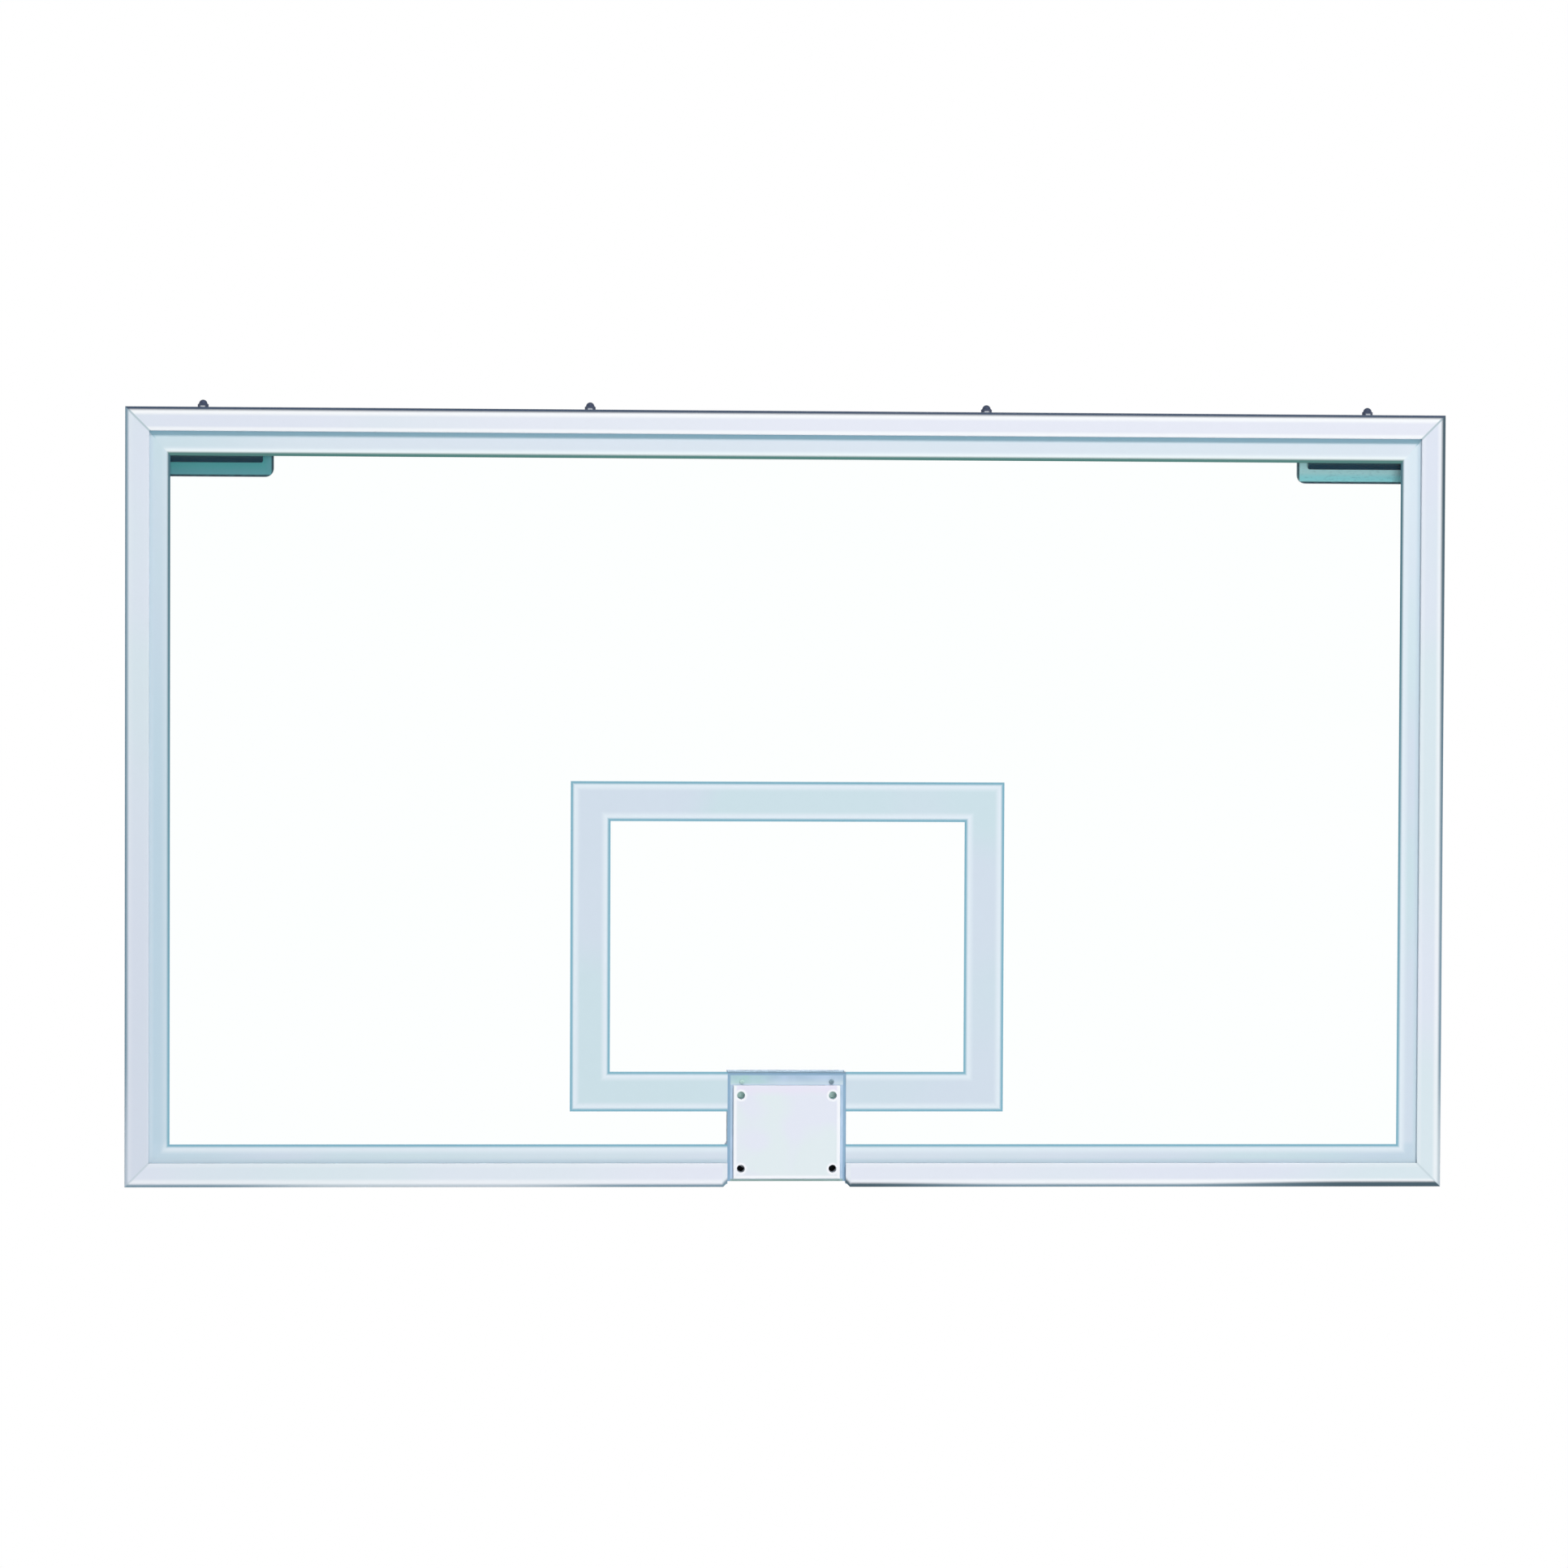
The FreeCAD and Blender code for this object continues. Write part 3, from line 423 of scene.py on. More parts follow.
def printFinish(name, low, high, sizes):
    material, where = newFinish(name)
    x, z = [where.part(axis) for axis in "XZ"]
    innerLow = low.z + sizes["line"] - sizes["drop"]
    innerHigh = high.z - sizes["line"] - sizes["drop"] - sizes["topExtra"]
    inner = (abs(x) - (high.x - sizes["line"])).most(innerLow - z).most(z - innerHigh)
    outer = (high.x - abs(x)).least(z - low.z).least(high.z - z)
    edge = inner.least(outer)
    fromSide = halfWidth - abs(x)
    fromEnd = halfHeight - abs(z - midHeight)
    onLeft = (fromSide - fromEnd).fade(*linePrint["leftStep"]) * x.fade(*linePrint["leftSpan"])
    onRight = 1 - x.fade(*linePrint["rightSpan"])
    onLow = z.fade(*linePrint["lowSpan"])
    mitreShare = sizes["line"] / (sizes["line"] + sizes["drop"] + sizes["topExtra"])
    onTop = ((high.z - z) * mitreShare - (high.x - abs(x))).fade(*mitreStep)
    onTop = onTop * (1 - (z - midHeight).fade(*linePrint["topSpan"]))
    rightShare = onRight * z.fade(*linePrint["rightFrom"]).level(*linePrint["rightShare"])
    topShare = onTop * x.fade(*linePrint["topFrom"]).level(*linePrint["topShare"])
    lowShare = onLow * linePrint["lowShare"] * abs(x).fade(*linePrint["lowFrom"])
    lowEndShare = onLow * abs(x).fade(*linePrint["lowEndFrom"]).level(*linePrint["lowEndShare"])
    paleShare = edge.fade(*linePrint["paleBand"]) * onLeft.level(*linePrint["paleShare"])
    topPaleShare = onTop * linePrint["topPaleShare"] * inner.fade(*linePrint["topPaleBand"])
    fromLip = fromSide.least(fromEnd) - lipWidth - linePrint["topLipWider"] * onTop
    lipShade = where.tint(linePrint["lipShade"], linePrint["topLip"], onTop)
    edgeTone = where.tint(linePrint["highEdge"], linePrint["edge"], z.fade(*sizes["climb"]))
    edgeTone = where.tint(edgeTone, linePrint["topEdge"], onTop)
    edgeSpan = edge - linePrint["topThicker"] * onTop
    cloud = where.noise(*linePrint["cloud"]).fade(*linePrint["cloudSpan"])
    colour = where.tint(linePrint["face"], linePrint["cool"], cloud)
    # painted light and shade by side
    colour = where.tint(colour, linePrint["left"], onLeft * z.fade(*linePrint["leftFrom"]))
    colour = where.tint(colour, linePrint["rightHigh"], rightShare)
    colour = where.tint(colour, linePrint["top"], topShare)
    colour = where.tint(colour, linePrint["top"], lowShare)
    colour = where.tint(colour, linePrint["lowEnd"], lowEndShare)
    # painted highlights along the edges
    colour = where.tint(colour, linePrint["pale"], paleShare)
    colour = where.tint(colour, linePrint["topPale"], topPaleShare)
    # painted shade at the frame's lip, painted shadow under the top lip, and the painted shade line along
    # the edges
    colour = where.tint(colour, lipShade, fromLip.fade(*linePrint["lipLine"]))
    colour = where.tint(colour, edgeTone, edgeSpan.fade(*linePrint["edgeLine"]))
    coat(where, {
        "Base Color": colour,
        "Roughness": where.noise(*linePrint["roughCloud"]).level(*linePrint["rough"]),
        "Normal": where.noise(*linePrint["grain"]).relief(*linePrint["relief"]),
    })
    return material


def addPiece(name, form, material, body, slot, *replaced, smooth=False):
    mesh = bpy.data.meshes.new(name)
    form.to_mesh(mesh)
    form.free()
    mesh.materials.append(material)
    for face in mesh.polygons:
        face.use_smooth = smooth
    piece = bpy.data.objects.new(name, mesh)
    bpy.context.scene.collection.objects.link(piece)
    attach(piece, body)
    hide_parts(*replaced)
    return piece


def printLine(name, node, sizes):
    low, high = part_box(node)
    middleZ = (low.z + high.z) / 2
    form = bmesh.new()
    bmesh.ops.create_grid(form, x_segments=1, y_segments=1, size=1 / 2)   # a unit square
    bmesh.ops.scale(form, verts=form.verts, vec=(high.x - low.x, high.z - low.z, 1))
    bmesh.ops.rotate(form, verts=form.verts, matrix=Matrix.Rotation(math.radians(90), 3, "X"))
    bmesh.ops.translate(form, verts=form.verts, vec=(0, low.y, middleZ))
    middle = form.faces[:]
    bmesh.ops.inset_region(
        form, faces=middle, thickness=sizes["line"], use_boundary=True, use_even_offset=True)
    opening = middle[0].verts[:]
    bmesh.ops.translate(form, verts=opening, vec=(0, 0, -sizes["drop"]))
    upper = [v for v in opening if v.co.z > middleZ]
    bmesh.ops.translate(form, verts=upper, vec=(0, 0, -sizes["topExtra"]))
    bmesh.ops.delete(form, geom=middle, context="FACES")
    for side in (-1, 1):                         # the goal box interrupts the lower line
        whole = form.verts[:] + form.edges[:] + form.faces[:]
        bmesh.ops.bisect_plane(form, geom=whole, plane_co=(side * stripHigh.x, 0, 0), plane_no=(1, 0, 0))
    behind = [f for f in form.faces if abs(f.calc_center_median().x) < stripHigh.x
              and f.calc_center_median().z < stripHigh.z]
    bmesh.ops.delete(form, geom=behind, context="FACES")
    bmesh.ops.recalc_face_normals(form, faces=form.faces)
    bmesh.ops.solidify(form, geom=form.faces[:], thickness=linePrint["film"])
    rear = max(v.co.y for v in form.verts)
    bmesh.ops.translate(form, verts=form.verts, vec=(0, high.y - linePrint["gap"] - rear, 0))
    bmesh.ops.recalc_face_normals(form, faces=form.faces)
    addPiece(name, form, printFinish(name + "Finish", low, high, sizes), "board", "white_print", node)


# Each line's width, how far its opening sits low, and the heights between which its painted shade line
# darkens
borderPrint = {"line": 0.05, "drop": 0.0025, "topExtra": 0.003, "climb": (-0.1, 0.97)}
printLine("borderPrint", "border_line", borderPrint)
targetPrint = {"line": 0.055, "drop": 0.0, "topExtra": 0.0, "climb": (0.2, 2.0)}
printLine("targetPrint", "target_line", targetPrint)
print("frame painted and lines printed")

# Glass: clear, a little green, with lamps let through to what hangs behind it
glassLook = {
    "clear": (254, 255, 255),
    "smear": (252, 255, 254),
    "smearShape": (1, 1, 2.5),
    "smearCloud": (1.7, 3.0),
    "haze": 0.012,
    "index": 1.5,
    "glare": (0.2, 0.2, 0.2),
    "ground": (150, 184, 204),                   # the ground edge round the notch
    "groundLine": (0.0002, 0.0004),
    "groundCloud": (600, 2.0),
    "groundShare": 0.2,
    "groundGrain": (900, 2.0),
    "groundRough": (0.6, 0.2),
}
glassFinish, where = newFinish("glassFinish")
x, z = [where.part(axis) for axis in "XZ"]
smear = where.stretched(*glassLook["smearShape"]).noise(*glassLook["smearCloud"])
pane = where.node("ShaderNodeBsdfPrincipled", None, {
    "Base Color": where.tint(glassLook["clear"], glassLook["smear"], smear),
    "Roughness": glassLook["haze"] * smear,
    "IOR": glassLook["index"],
    "Specular Tint": glassLook["glare"],
    "Transmission Weight": 1.0,
})
through = where.node("ShaderNodeBsdfTransparent", None, {"Color": tone(*glassLook["clear"])})
lampRays = where.node("ShaderNodeLightPath", out="Is Shadow Ray")
pane = where.node("ShaderNodeMixShader", None, {0: lampRays, 1: pane, 2: through})
speck = glassLook["groundShare"] * where.noise(*glassLook["groundCloud"])
frosted = where.node("ShaderNodeBsdfPrincipled", None, {
    "Base Color": where.tint(glassLook["ground"], glassLook["smear"], speck),
    "Roughness": where.noise(*glassLook["groundGrain"]).level(*glassLook["groundRough"]),
})
notchEdge = abs((abs(x) - stripHigh.x).most(z - stripHigh.z))
onEdge = notchEdge.fade(*glassLook["groundLine"])
pane = where.node("ShaderNodeMixShader", None, {0: onEdge, 1: pane, 2: frosted})
where.node("ShaderNodeOutputMaterial", None, {"Surface": pane})
dress(glassFinish, "glass_pane")

# Face plate: the same coat as the rails, with painted highlights along its edges and round the bolt holes
facePaint = {
    "face": (230, 234, 245),
    "cool": (228, 238, 241),
    "cloud": (14, 1.0),
    "cloudSpan": (0.4, 0.6),
    "lilac": (236, 231, 247),                    # towards the top
    "lilacFrom": (0.005, 0.018),
    "lilacShare": 0.7,
    # painted highlight along the edges and round the bolt holes
    "pale": (248, 250, 254),
    "paleBand": (0.0025, 0.0065),
    "holes": (0.0635, 0.0508),
    "ring": (0.0068, 0.0098),
    "scuffShape": (1, 1, 0.15),
    "scuff": (240, 3.0),
    "rough": (0.34, 0.14),
    "grain": (850, 1.0),
    "relief": (0.12, 0.0003),
}
faceFinish, where = newFinish("faceFinish")
x, z = [where.part(axis) for axis in "XZ"]
holeX, holeZ = facePaint["holes"]
fromHole = where.node("ShaderNodeCombineXYZ", None, {"X": abs(x) - holeX, "Y": abs(z) - holeZ})
fromHole = where.node("ShaderNodeVectorMath", {"operation": "LENGTH"}, {0: fromHole}, "Value")
edge = (faceHigh.x - abs(x)).least(z - faceLow.z)
lilacShare = facePaint["lilacShare"] * (faceHigh.z - z).fade(*facePaint["lilacFrom"])
cloud = where.noise(*facePaint["cloud"]).fade(*facePaint["cloudSpan"])
colour = where.tint(facePaint["face"], facePaint["cool"], cloud)
colour = where.tint(colour, facePaint["lilac"], lilacShare)
# painted highlights along the edges and round the bolt holes
colour = where.tint(colour, facePaint["pale"], edge.fade(*facePaint["paleBand"]))
colour = where.tint(colour, facePaint["pale"], fromHole.fade(*facePaint["ring"]))
scuff = where.stretched(*facePaint["scuffShape"]).noise(*facePaint["scuff"])
coat(where, {
    "Base Color": colour,
    "Roughness": scuff.level(*facePaint["rough"]),
    "Normal": where.noise(*facePaint["grain"]).relief(*facePaint["relief"]),
})
dress(faceFinish, "rim_face_plate")

# Goal box: a bluer coat, with a painted green reflection above the face plate on the left and painted shade
# under the face plate along the lower edge
boxPaint = {
    "face": (186, 208, 231),
    "shade": (172, 197, 218),
    "cloud": (30, 2.0),
    "cloudSpan": (0.35, 0.65),
    "pale": (204, 222, 232),                     # close over the face plate
    "paleStep": (-0.001, 0.0),
    "paleEnd": 0.002,                            # this far under the box's top
    # painted reflection
    "green": (170, 212, 202),
    "greenFrom": (-0.055, 0.0),
    "greenBand": (-0.004, 0.0),
    "greenCloud": (45, 1.0),
    # painted shade under the face plate
    "lowShade": (138, 166, 152),                    # along the lower edge of the front
    "lowShadeBand": (0.0022, 0.0042),
    "lowShadeSkin": (0.0008, 0.0018),
    "lowShadeShare": 0.8,
    "roughCloud": (90, 2.0),
    "rough": (0.36, 0.16),
    "grain": (800, 1.0),
    "relief": (0.12, 0.0003),
}
boxFinish, where = newFinish("boxFinish")
x, y, z = [where.part(axis) for axis in "XYZ"]
underFace = faceHigh.z - z
overFace = z.fade(faceHigh.z, boxHigh.z - boxPaint["paleEnd"]) * underFace.fade(*boxPaint["paleStep"])
# painted green reflection above the face plate on the left
glint = x.fade(*boxPaint["greenFrom"]) * underFace.fade(*boxPaint["greenBand"])
# painted shade along the lower edge, under the face plate
lowEdge = (z - boxLow.z).fade(*boxPaint["lowShadeBand"]) * (y - boxLow.y).fade(*boxPaint["lowShadeSkin"])
cloud = where.noise(*boxPaint["cloud"]).fade(*boxPaint["cloudSpan"])
colour = where.tint(boxPaint["face"], boxPaint["shade"], cloud)
colour = where.tint(colour, boxPaint["pale"], overFace)
colour = where.tint(colour, boxPaint["green"], glint * where.noise(*boxPaint["greenCloud"]))
colour = where.tint(colour, boxPaint["lowShade"], lowEdge * boxPaint["lowShadeShare"])
coat(where, {
    "Base Color": colour,
    "Roughness": where.noise(*boxPaint["roughCloud"]).level(*boxPaint["rough"]),
    "Normal": where.noise(*boxPaint["grain"]).relief(*boxPaint["relief"]),
})
dress(boxFinish, "goal_box")

# Weld round the box: a rippled bead
weldLook = {
    "bright": (196, 208, 222),
    "dull": (150, 165, 182),
    "cloud": (200, 2.0),
    "rough": (0.38, 0.1),
    "ripple": 1980,
    "grain": (500, 2.0),
    "relief": (0.5, 0.0006),
}
weldFinish, where = newFinish("weldFinish")
x, z = [where.part(axis) for axis in "XZ"]
bead = where.math("SINE", (x + z) * weldLook["ripple"])
cloud = where.noise(*weldLook["cloud"])
coat(where, {
    "Base Color": where.tint(weldLook["bright"], weldLook["dull"], cloud),
    "Roughness": cloud.level(*weldLook["rough"]),
    "Normal": (bead + where.noise(*weldLook["grain"])).relief(*weldLook["relief"]),
})
dress(weldFinish, "goal_box_weld")

# Back plate: the rails' coat, dusty, with painted shade, near black, on the part inside the box
platePaint = {
    "face": (216, 223, 234),
    "dust": (196, 204, 215),
    "cloud": (7, 4.0),
    "cloudSpan": (0.35, 0.65),
    # painted shade inside the box
    "shadeAndGlint": (34, 38, 46),
    "boxShadeStep": (-0.004, -0.003),                # inside the box's wall
    "boxShadeSkin": (-0.0075, -0.007),
    "rough": (0.36, 0.2),
    "grain": (700, 1.0),
    "relief": (0.15, 0.0003),
}
plateFinish, where = newFinish("plateFinish")
x, y, z = [where.part(axis) for axis in "XYZ"]
dust = where.noise(*platePaint["cloud"])
# painted shade on the part of the plate inside the box
insideBox = (abs(x) - boxHigh.x).fade(*platePaint["boxShadeStep"])
insideBox = insideBox * (boxLow.z - z).fade(*platePaint["boxShadeStep"])
colour = where.tint(platePaint["face"], platePaint["dust"], dust.fade(*platePaint["cloudSpan"]))
colour = where.tint(colour, platePaint["shadeAndGlint"], insideBox * y.fade(*platePaint["boxShadeSkin"]))
coat(where, {
    "Base Color": colour,
    "Roughness": dust.level(*platePaint["rough"]),
    "Normal": where.noise(*platePaint["grain"]).relief(*platePaint["relief"]),
})
dress(plateFinish, "back_plate")
print("glass and goal box finished")

# Hanger plates: grey-green paint with painted light, darker on the left and lighter on the right, painted
# highlights high on the right and along the left plate's edges, and a painted shade rim along the lower and
# inner edge
hangerPaint = {
    # painted light: the left plate darker, the right one lighter and lighter still high up
    "face": (88, 184, 187),
    "right": (163, 246, 252),
    "rightHigh": (198, 250, 253),
    "highFrom": (0.911, 0.919),
    "sideStep": (-0.1, 0.1),
    # painted highlight along the left plate's edges
    "pale": (102, 183, 192),
    "paleBand": (0.006, 0.014),
    # painted shade rim along the lower and inner edge
    "rim": (24, 62, 78),
    "rimLine": (0.0018, 0.0038),
    "scuffShape": (0.45, 1, 1),
    "scuff": (420, 3.0),
    "scuffSpan": (0.5, 0.7),
    "scuffShare": 0.25,
    "frontSkin": (0.0006, 0.001),
    "rear": (136, 160, 164),                     # edges and rear face, the same on both
    "rearDull": (120, 145, 150),
    "rearCloud": (55, 3.0),
    "rearSpan": (0.35, 0.65),
    "rough": (0.36, 0.2),
    "grain": (600, 2.0),
    "relief": (0.15, 0.0003),
}
hangerFinish, where = newFinish("hangerFinish")
x, y, z = [where.part(axis) for axis in "XYZ"]
edge = (abs(x) - hangerLow.x).least(z - hangerLow.z)
onFront = (y - hangerLow.y).fade(*hangerPaint["frontSkin"])
onLeft = x.fade(*hangerPaint["sideStep"])
scuff = where.stretched(*hangerPaint["scuffShape"]).noise(*hangerPaint["scuff"])
scuffShare = (1 - scuff.fade(*hangerPaint["scuffSpan"])) * hangerPaint["scuffShare"]
rearCloud = where.noise(*hangerPaint["rearCloud"]).fade(*hangerPaint["rearSpan"])
# painted light by side and height, painted highlight and painted shade rim along the edges
colour = where.tint(hangerPaint["rightHigh"], hangerPaint["right"], z.fade(*hangerPaint["highFrom"]))
colour = where.tint(colour, hangerPaint["face"], onLeft)
colour = where.tint(colour, hangerPaint["pale"], edge.fade(*hangerPaint["paleBand"]) * onLeft)
colour = where.tint(colour, hangerPaint["rim"], edge.fade(*hangerPaint["rimLine"]))
colour = where.tint(colour, hangerPaint["pale"], scuffShare)
rear = where.tint(hangerPaint["rear"], hangerPaint["rearDull"], rearCloud)
coat(where, {
    "Base Color": where.tint(rear, colour, onFront),
    "Roughness": scuff.level(*hangerPaint["rough"]),
    "Normal": where.noise(*hangerPaint["grain"]).relief(*hangerPaint["relief"]),
})
dress(hangerFinish, "left_hanger_plate", "right_hanger_plate")


def skinFinish(name, look):                      # one noise for the colour, the gloss and the relief
    material, where = newFinish(name)
    skin = where.stretched(*look["shape"]).noise(*look["skin"])
    coat(where, {
        "Base Color": where.tint(look["first"], look["second"], skin),
        "Metallic": look["metal"],
        "Roughness": skin.level(*look["rough"]),
        "Normal": skin.relief(*look["relief"]),
    })
    return material


# The angle that they hang from: rolled steel under the same paint
angleLook = {
    "first": (118, 140, 148),
    "second": (142, 162, 168),
    "shape": (0.05, 1, 1),
    "skin": (160, 3.0),
    "metal": 0.0,
    "rough": (0.4, 0.2),
    "relief": (0.2, 0.0004),
}
dress(skinFinish("angleFinish", angleLook), "top_angle")

# Nut bars: black oxide, drawn along their length, with a painted highlight towards the top
barLook = {
    "dark": (9, 55, 74),
    "bright": (15, 68, 90),
    # painted highlight
    "pale": (78, 120, 128),
    "paleFrom": (0.9265, 0.9345),
    "shape": (0.06, 1, 1),
    "skin": (420, 3.0),
    "shine": 0.06,
    "rough": (0.5, 0.2),
    "relief": (0.08, 0.0002),
}
barFinish, where = newFinish("barFinish")
drawn = where.stretched(*barLook["shape"]).noise(*barLook["skin"])
colour = where.tint(barLook["dark"], barLook["bright"], drawn)
coat(where, {
    "Base Color": where.tint(barLook["pale"], colour, where.part("Z").fade(*barLook["paleFrom"])),
    "Roughness": drawn.level(*barLook["rough"]),
    "Specular IOR Level": barLook["shine"],
    "Normal": drawn.relief(*barLook["relief"]),
})
dress(barFinish, "left_nut_bar", "right_nut_bar")

# Rubber strips
sealLook = {
    "face": (150, 182, 208),
    "dull": (138, 170, 194),
    "cloud": (60, 3.0),
    "skin": (900, 3.0),
    "rough": (0.62, 0.18),
    "relief": (0.3, 0.0003),
}
sealFinish, where = newFinish("sealFinish")
fine = where.noise(*sealLook["skin"])
coat(where, {
    "Base Color": where.tint(sealLook["face"], sealLook["dull"], where.noise(*sealLook["cloud"])),
    "Roughness": fine.level(*sealLook["rough"]),
    "Normal": fine.relief(*sealLook["relief"]),
})
dress(sealFinish, "notch_strip", "top_gasket", "left_gasket", "right_gasket")
dress(sealFinish, "bottom_left_gasket", "bottom_right_gasket")

# Cast corner keys
keyLook = {
    "first": (196, 198, 202),
    "second": (164, 167, 172),
    "shape": (1, 1, 1),
    "skin": (450, 4.0),
    "metal": 1.0,
    "rough": (0.42, 0.2),
    "relief": (0.4, 0.0004),
}
keyFinish = skinFinish("keyFinish", keyLook)
dress(keyFinish, "top_left_corner_key", "top_right_corner_key")
dress(keyFinish, "bottom_left_corner_key", "bottom_right_corner_key")

# Anchor bar: pale milled steel, which shows through the upper rim holes
anchorLook = {
    "first": (216, 246, 240),
    "second": (228, 250, 245),
    "shape": (0.1, 1, 1),
    "skin": (320, 3.0),
    "metal": 0.0,
    "rough": (0.4, 0.2),
    "relief": (0.2, 0.0003),
}
dress(skinFinish("anchorFinish", anchorLook), "anchor_bar")

# Zinc plate for the fasteners
zincLook = {
    "bright": (206, 211, 216),
    "dull": (168, 174, 182),
    "spangle": (260, 3.0),
    "rough": (0.24, 0.2),
    "grain": (1400, 2.0),
    "relief": (0.12, 0.0002),
}
zinc, where = newFinish("zincFinish")
spangle = where.noise(*zincLook["spangle"])
coat(where, {
    "Base Color": where.tint(zincLook["bright"], zincLook["dull"], spangle),
    "Metallic": 1.0,
    "Roughness": spangle.level(*zincLook["rough"]),
    "Normal": where.noise(*zincLook["grain"]).relief(*zincLook["relief"]),
})
dress(zinc, "rail_plate_nuts", "rim_weld_nuts", "mast_weld_nuts", "top_sleeves")
print("hangers, strips and hidden steel finished")

# Fasteners: each is shaped once with its axis along Z and set where the frame has it
fastenerShape = {
    "hexStart": 0.0003,                          # a bolt's hexagon stands on a round washer face
    "faceShare": 0.94,
    "faceHeight": 0.0006,
    "faceChamfer": 0.0001,
    "shankInHead": 0.001,
    "shankChamfer": 0.0008,
    "crownShare": 0.72,                          # a screw head's flat top
    "socketFloor": 0.0002,
    "screwChamfer": 0.0006,
    "sharpAngle": 32,                            # degrees
    "bevelSteps": 2,
    "barSteps": 32,                              # steps round each kind of circle
    "boreSteps": 24,
    "washerSteps": 40,
    "domeSteps": 40,
    "screwSteps": 36,
}


def hexRadius(flats):
    return flats / 2 / math.cos(math.radians(30))


def ringEdges(form, test):
    return [e for e in form.edges if all(test(v.co) for v in e.verts)]


def levelEdges(edges):
    return [e for e in edges if e.verts[0].co.z == e.verts[1].co.z]


def linkedEdges(verts):
    return list({e for v in verts for e in v.link_edges})


def soften(form, edges, size):
    bmesh.ops.bevel(
        form, geom=edges, offset=size, offset_type="OFFSET", affect="EDGES",
        segments=fastenerShape["bevelSteps"], profile=0.5, material=-1)


def prism(form, radius, low, high, chamfer, segments):
    made = bmesh.ops.create_cone(
        form, cap_ends=True, segments=segments, radius1=radius, radius2=radius, depth=high - low)
    bmesh.ops.translate(form, verts=made["verts"], vec=(0, 0, (low + high) / 2))
    soften(form, levelEdges(linkedEdges(made["verts"])), chamfer)


def hexBlock(form, flats, low, high, chamfer):
    prism(form, hexRadius(flats), low, high, chamfer, 6)


def roundBar(form, diameter, low, high, chamfer):
    prism(form, diameter / 2, low, high, chamfer, fastenerShape["barSteps"])


def washer(form, sizes):
    outer, inner = sizes["outer"] / 2, sizes["inner"] / 2
    corners = [(outer, 0), (outer, sizes["thick"]), (inner, sizes["thick"]), (inner, 0)]
    points = [form.verts.new((radius, 0, level)) for radius, level in corners]
    sides = [form.edges.new((a, b)) for a, b in zip(points, points[1:] + points[:1])]
    bmesh.ops.spin(
        form, geom=points + sides, cent=(0, 0, 0), axis=(0, 0, 1), angle=math.radians(360),
        steps=fastenerShape["washerSteps"], use_merge=True)
    bmesh.ops.recalc_face_normals(form, faces=form.faces)
    rims = ringEdges(form, lambda co: co.xy.length > (outer + inner) / 2)
    soften(form, rims, sizes["chamfer"])


def plainNut(form, sizes):
    loops = []
    circles = ((hexRadius(sizes["flats"]), 6), (sizes["bore"] / 2, fastenerShape["boreSteps"]))
    for radius, segments in circles:
        made = bmesh.ops.create_circle(form, radius=radius, segments=segments)
        loops += linkedEdges(made["verts"])
    faces = bmesh.ops.bridge_loops(form, edges=loops)["faces"]
    grown = bmesh.ops.extrude_face_region(form, geom=faces, use_keep_orig=True)["geom"]
    grown = [item for item in grown if isinstance(item, bmesh.types.BMVert)]
    bmesh.ops.translate(form, verts=grown, vec=(0, 0, sizes["thick"]))
    bmesh.ops.recalc_face_normals(form, faces=form.faces)
    rims = ringEdges(form, lambda co: co.xy.length > sizes["flats"] / 2)
    soften(form, levelEdges(rims), sizes["chamfer"])


def hexBolt(form, sizes):
    shape = fastenerShape
    hexBlock(form, sizes["flats"], shape["hexStart"], sizes["head"], sizes["chamfer"])
    roundBar(form, sizes["flats"] * shape["faceShare"], 0, shape["faceHeight"], shape["faceChamfer"])
    roundBar(form, sizes["shank"], -sizes["length"], shape["shankInHead"], shape["shankChamfer"])


def capNut(form, sizes):
    top = sizes["hexHeight"]
    hexBlock(form, sizes["flats"], 0, top, sizes["chamfer"])
    steps = fastenerShape["domeSteps"]
    dome = bmesh.ops.create_uvsphere(
        form, u_segments=steps, v_segments=steps // 2, radius=sizes["dome"])["verts"]
    bmesh.ops.translate(form, verts=dome, vec=(0, 0, top))
    geom = list({item for v in dome for item in [v, *v.link_edges, *v.link_faces]})
    bmesh.ops.bisect_plane(
        form, geom=geom, plane_co=(0, 0, top - sizes["domeSunk"]), plane_no=(0, 0, 1), clear_inner=True)
    collar = bmesh.ops.create_cone(
        form, cap_ends=False, segments=steps, radius1=sizes["collar"],
        radius2=sizes["dome"] * sizes["collarShare"], depth=sizes["collarHeight"])
    bmesh.ops.translate(form, verts=collar["verts"], vec=(0, 0, top + sizes["collarHeight"] / 2))


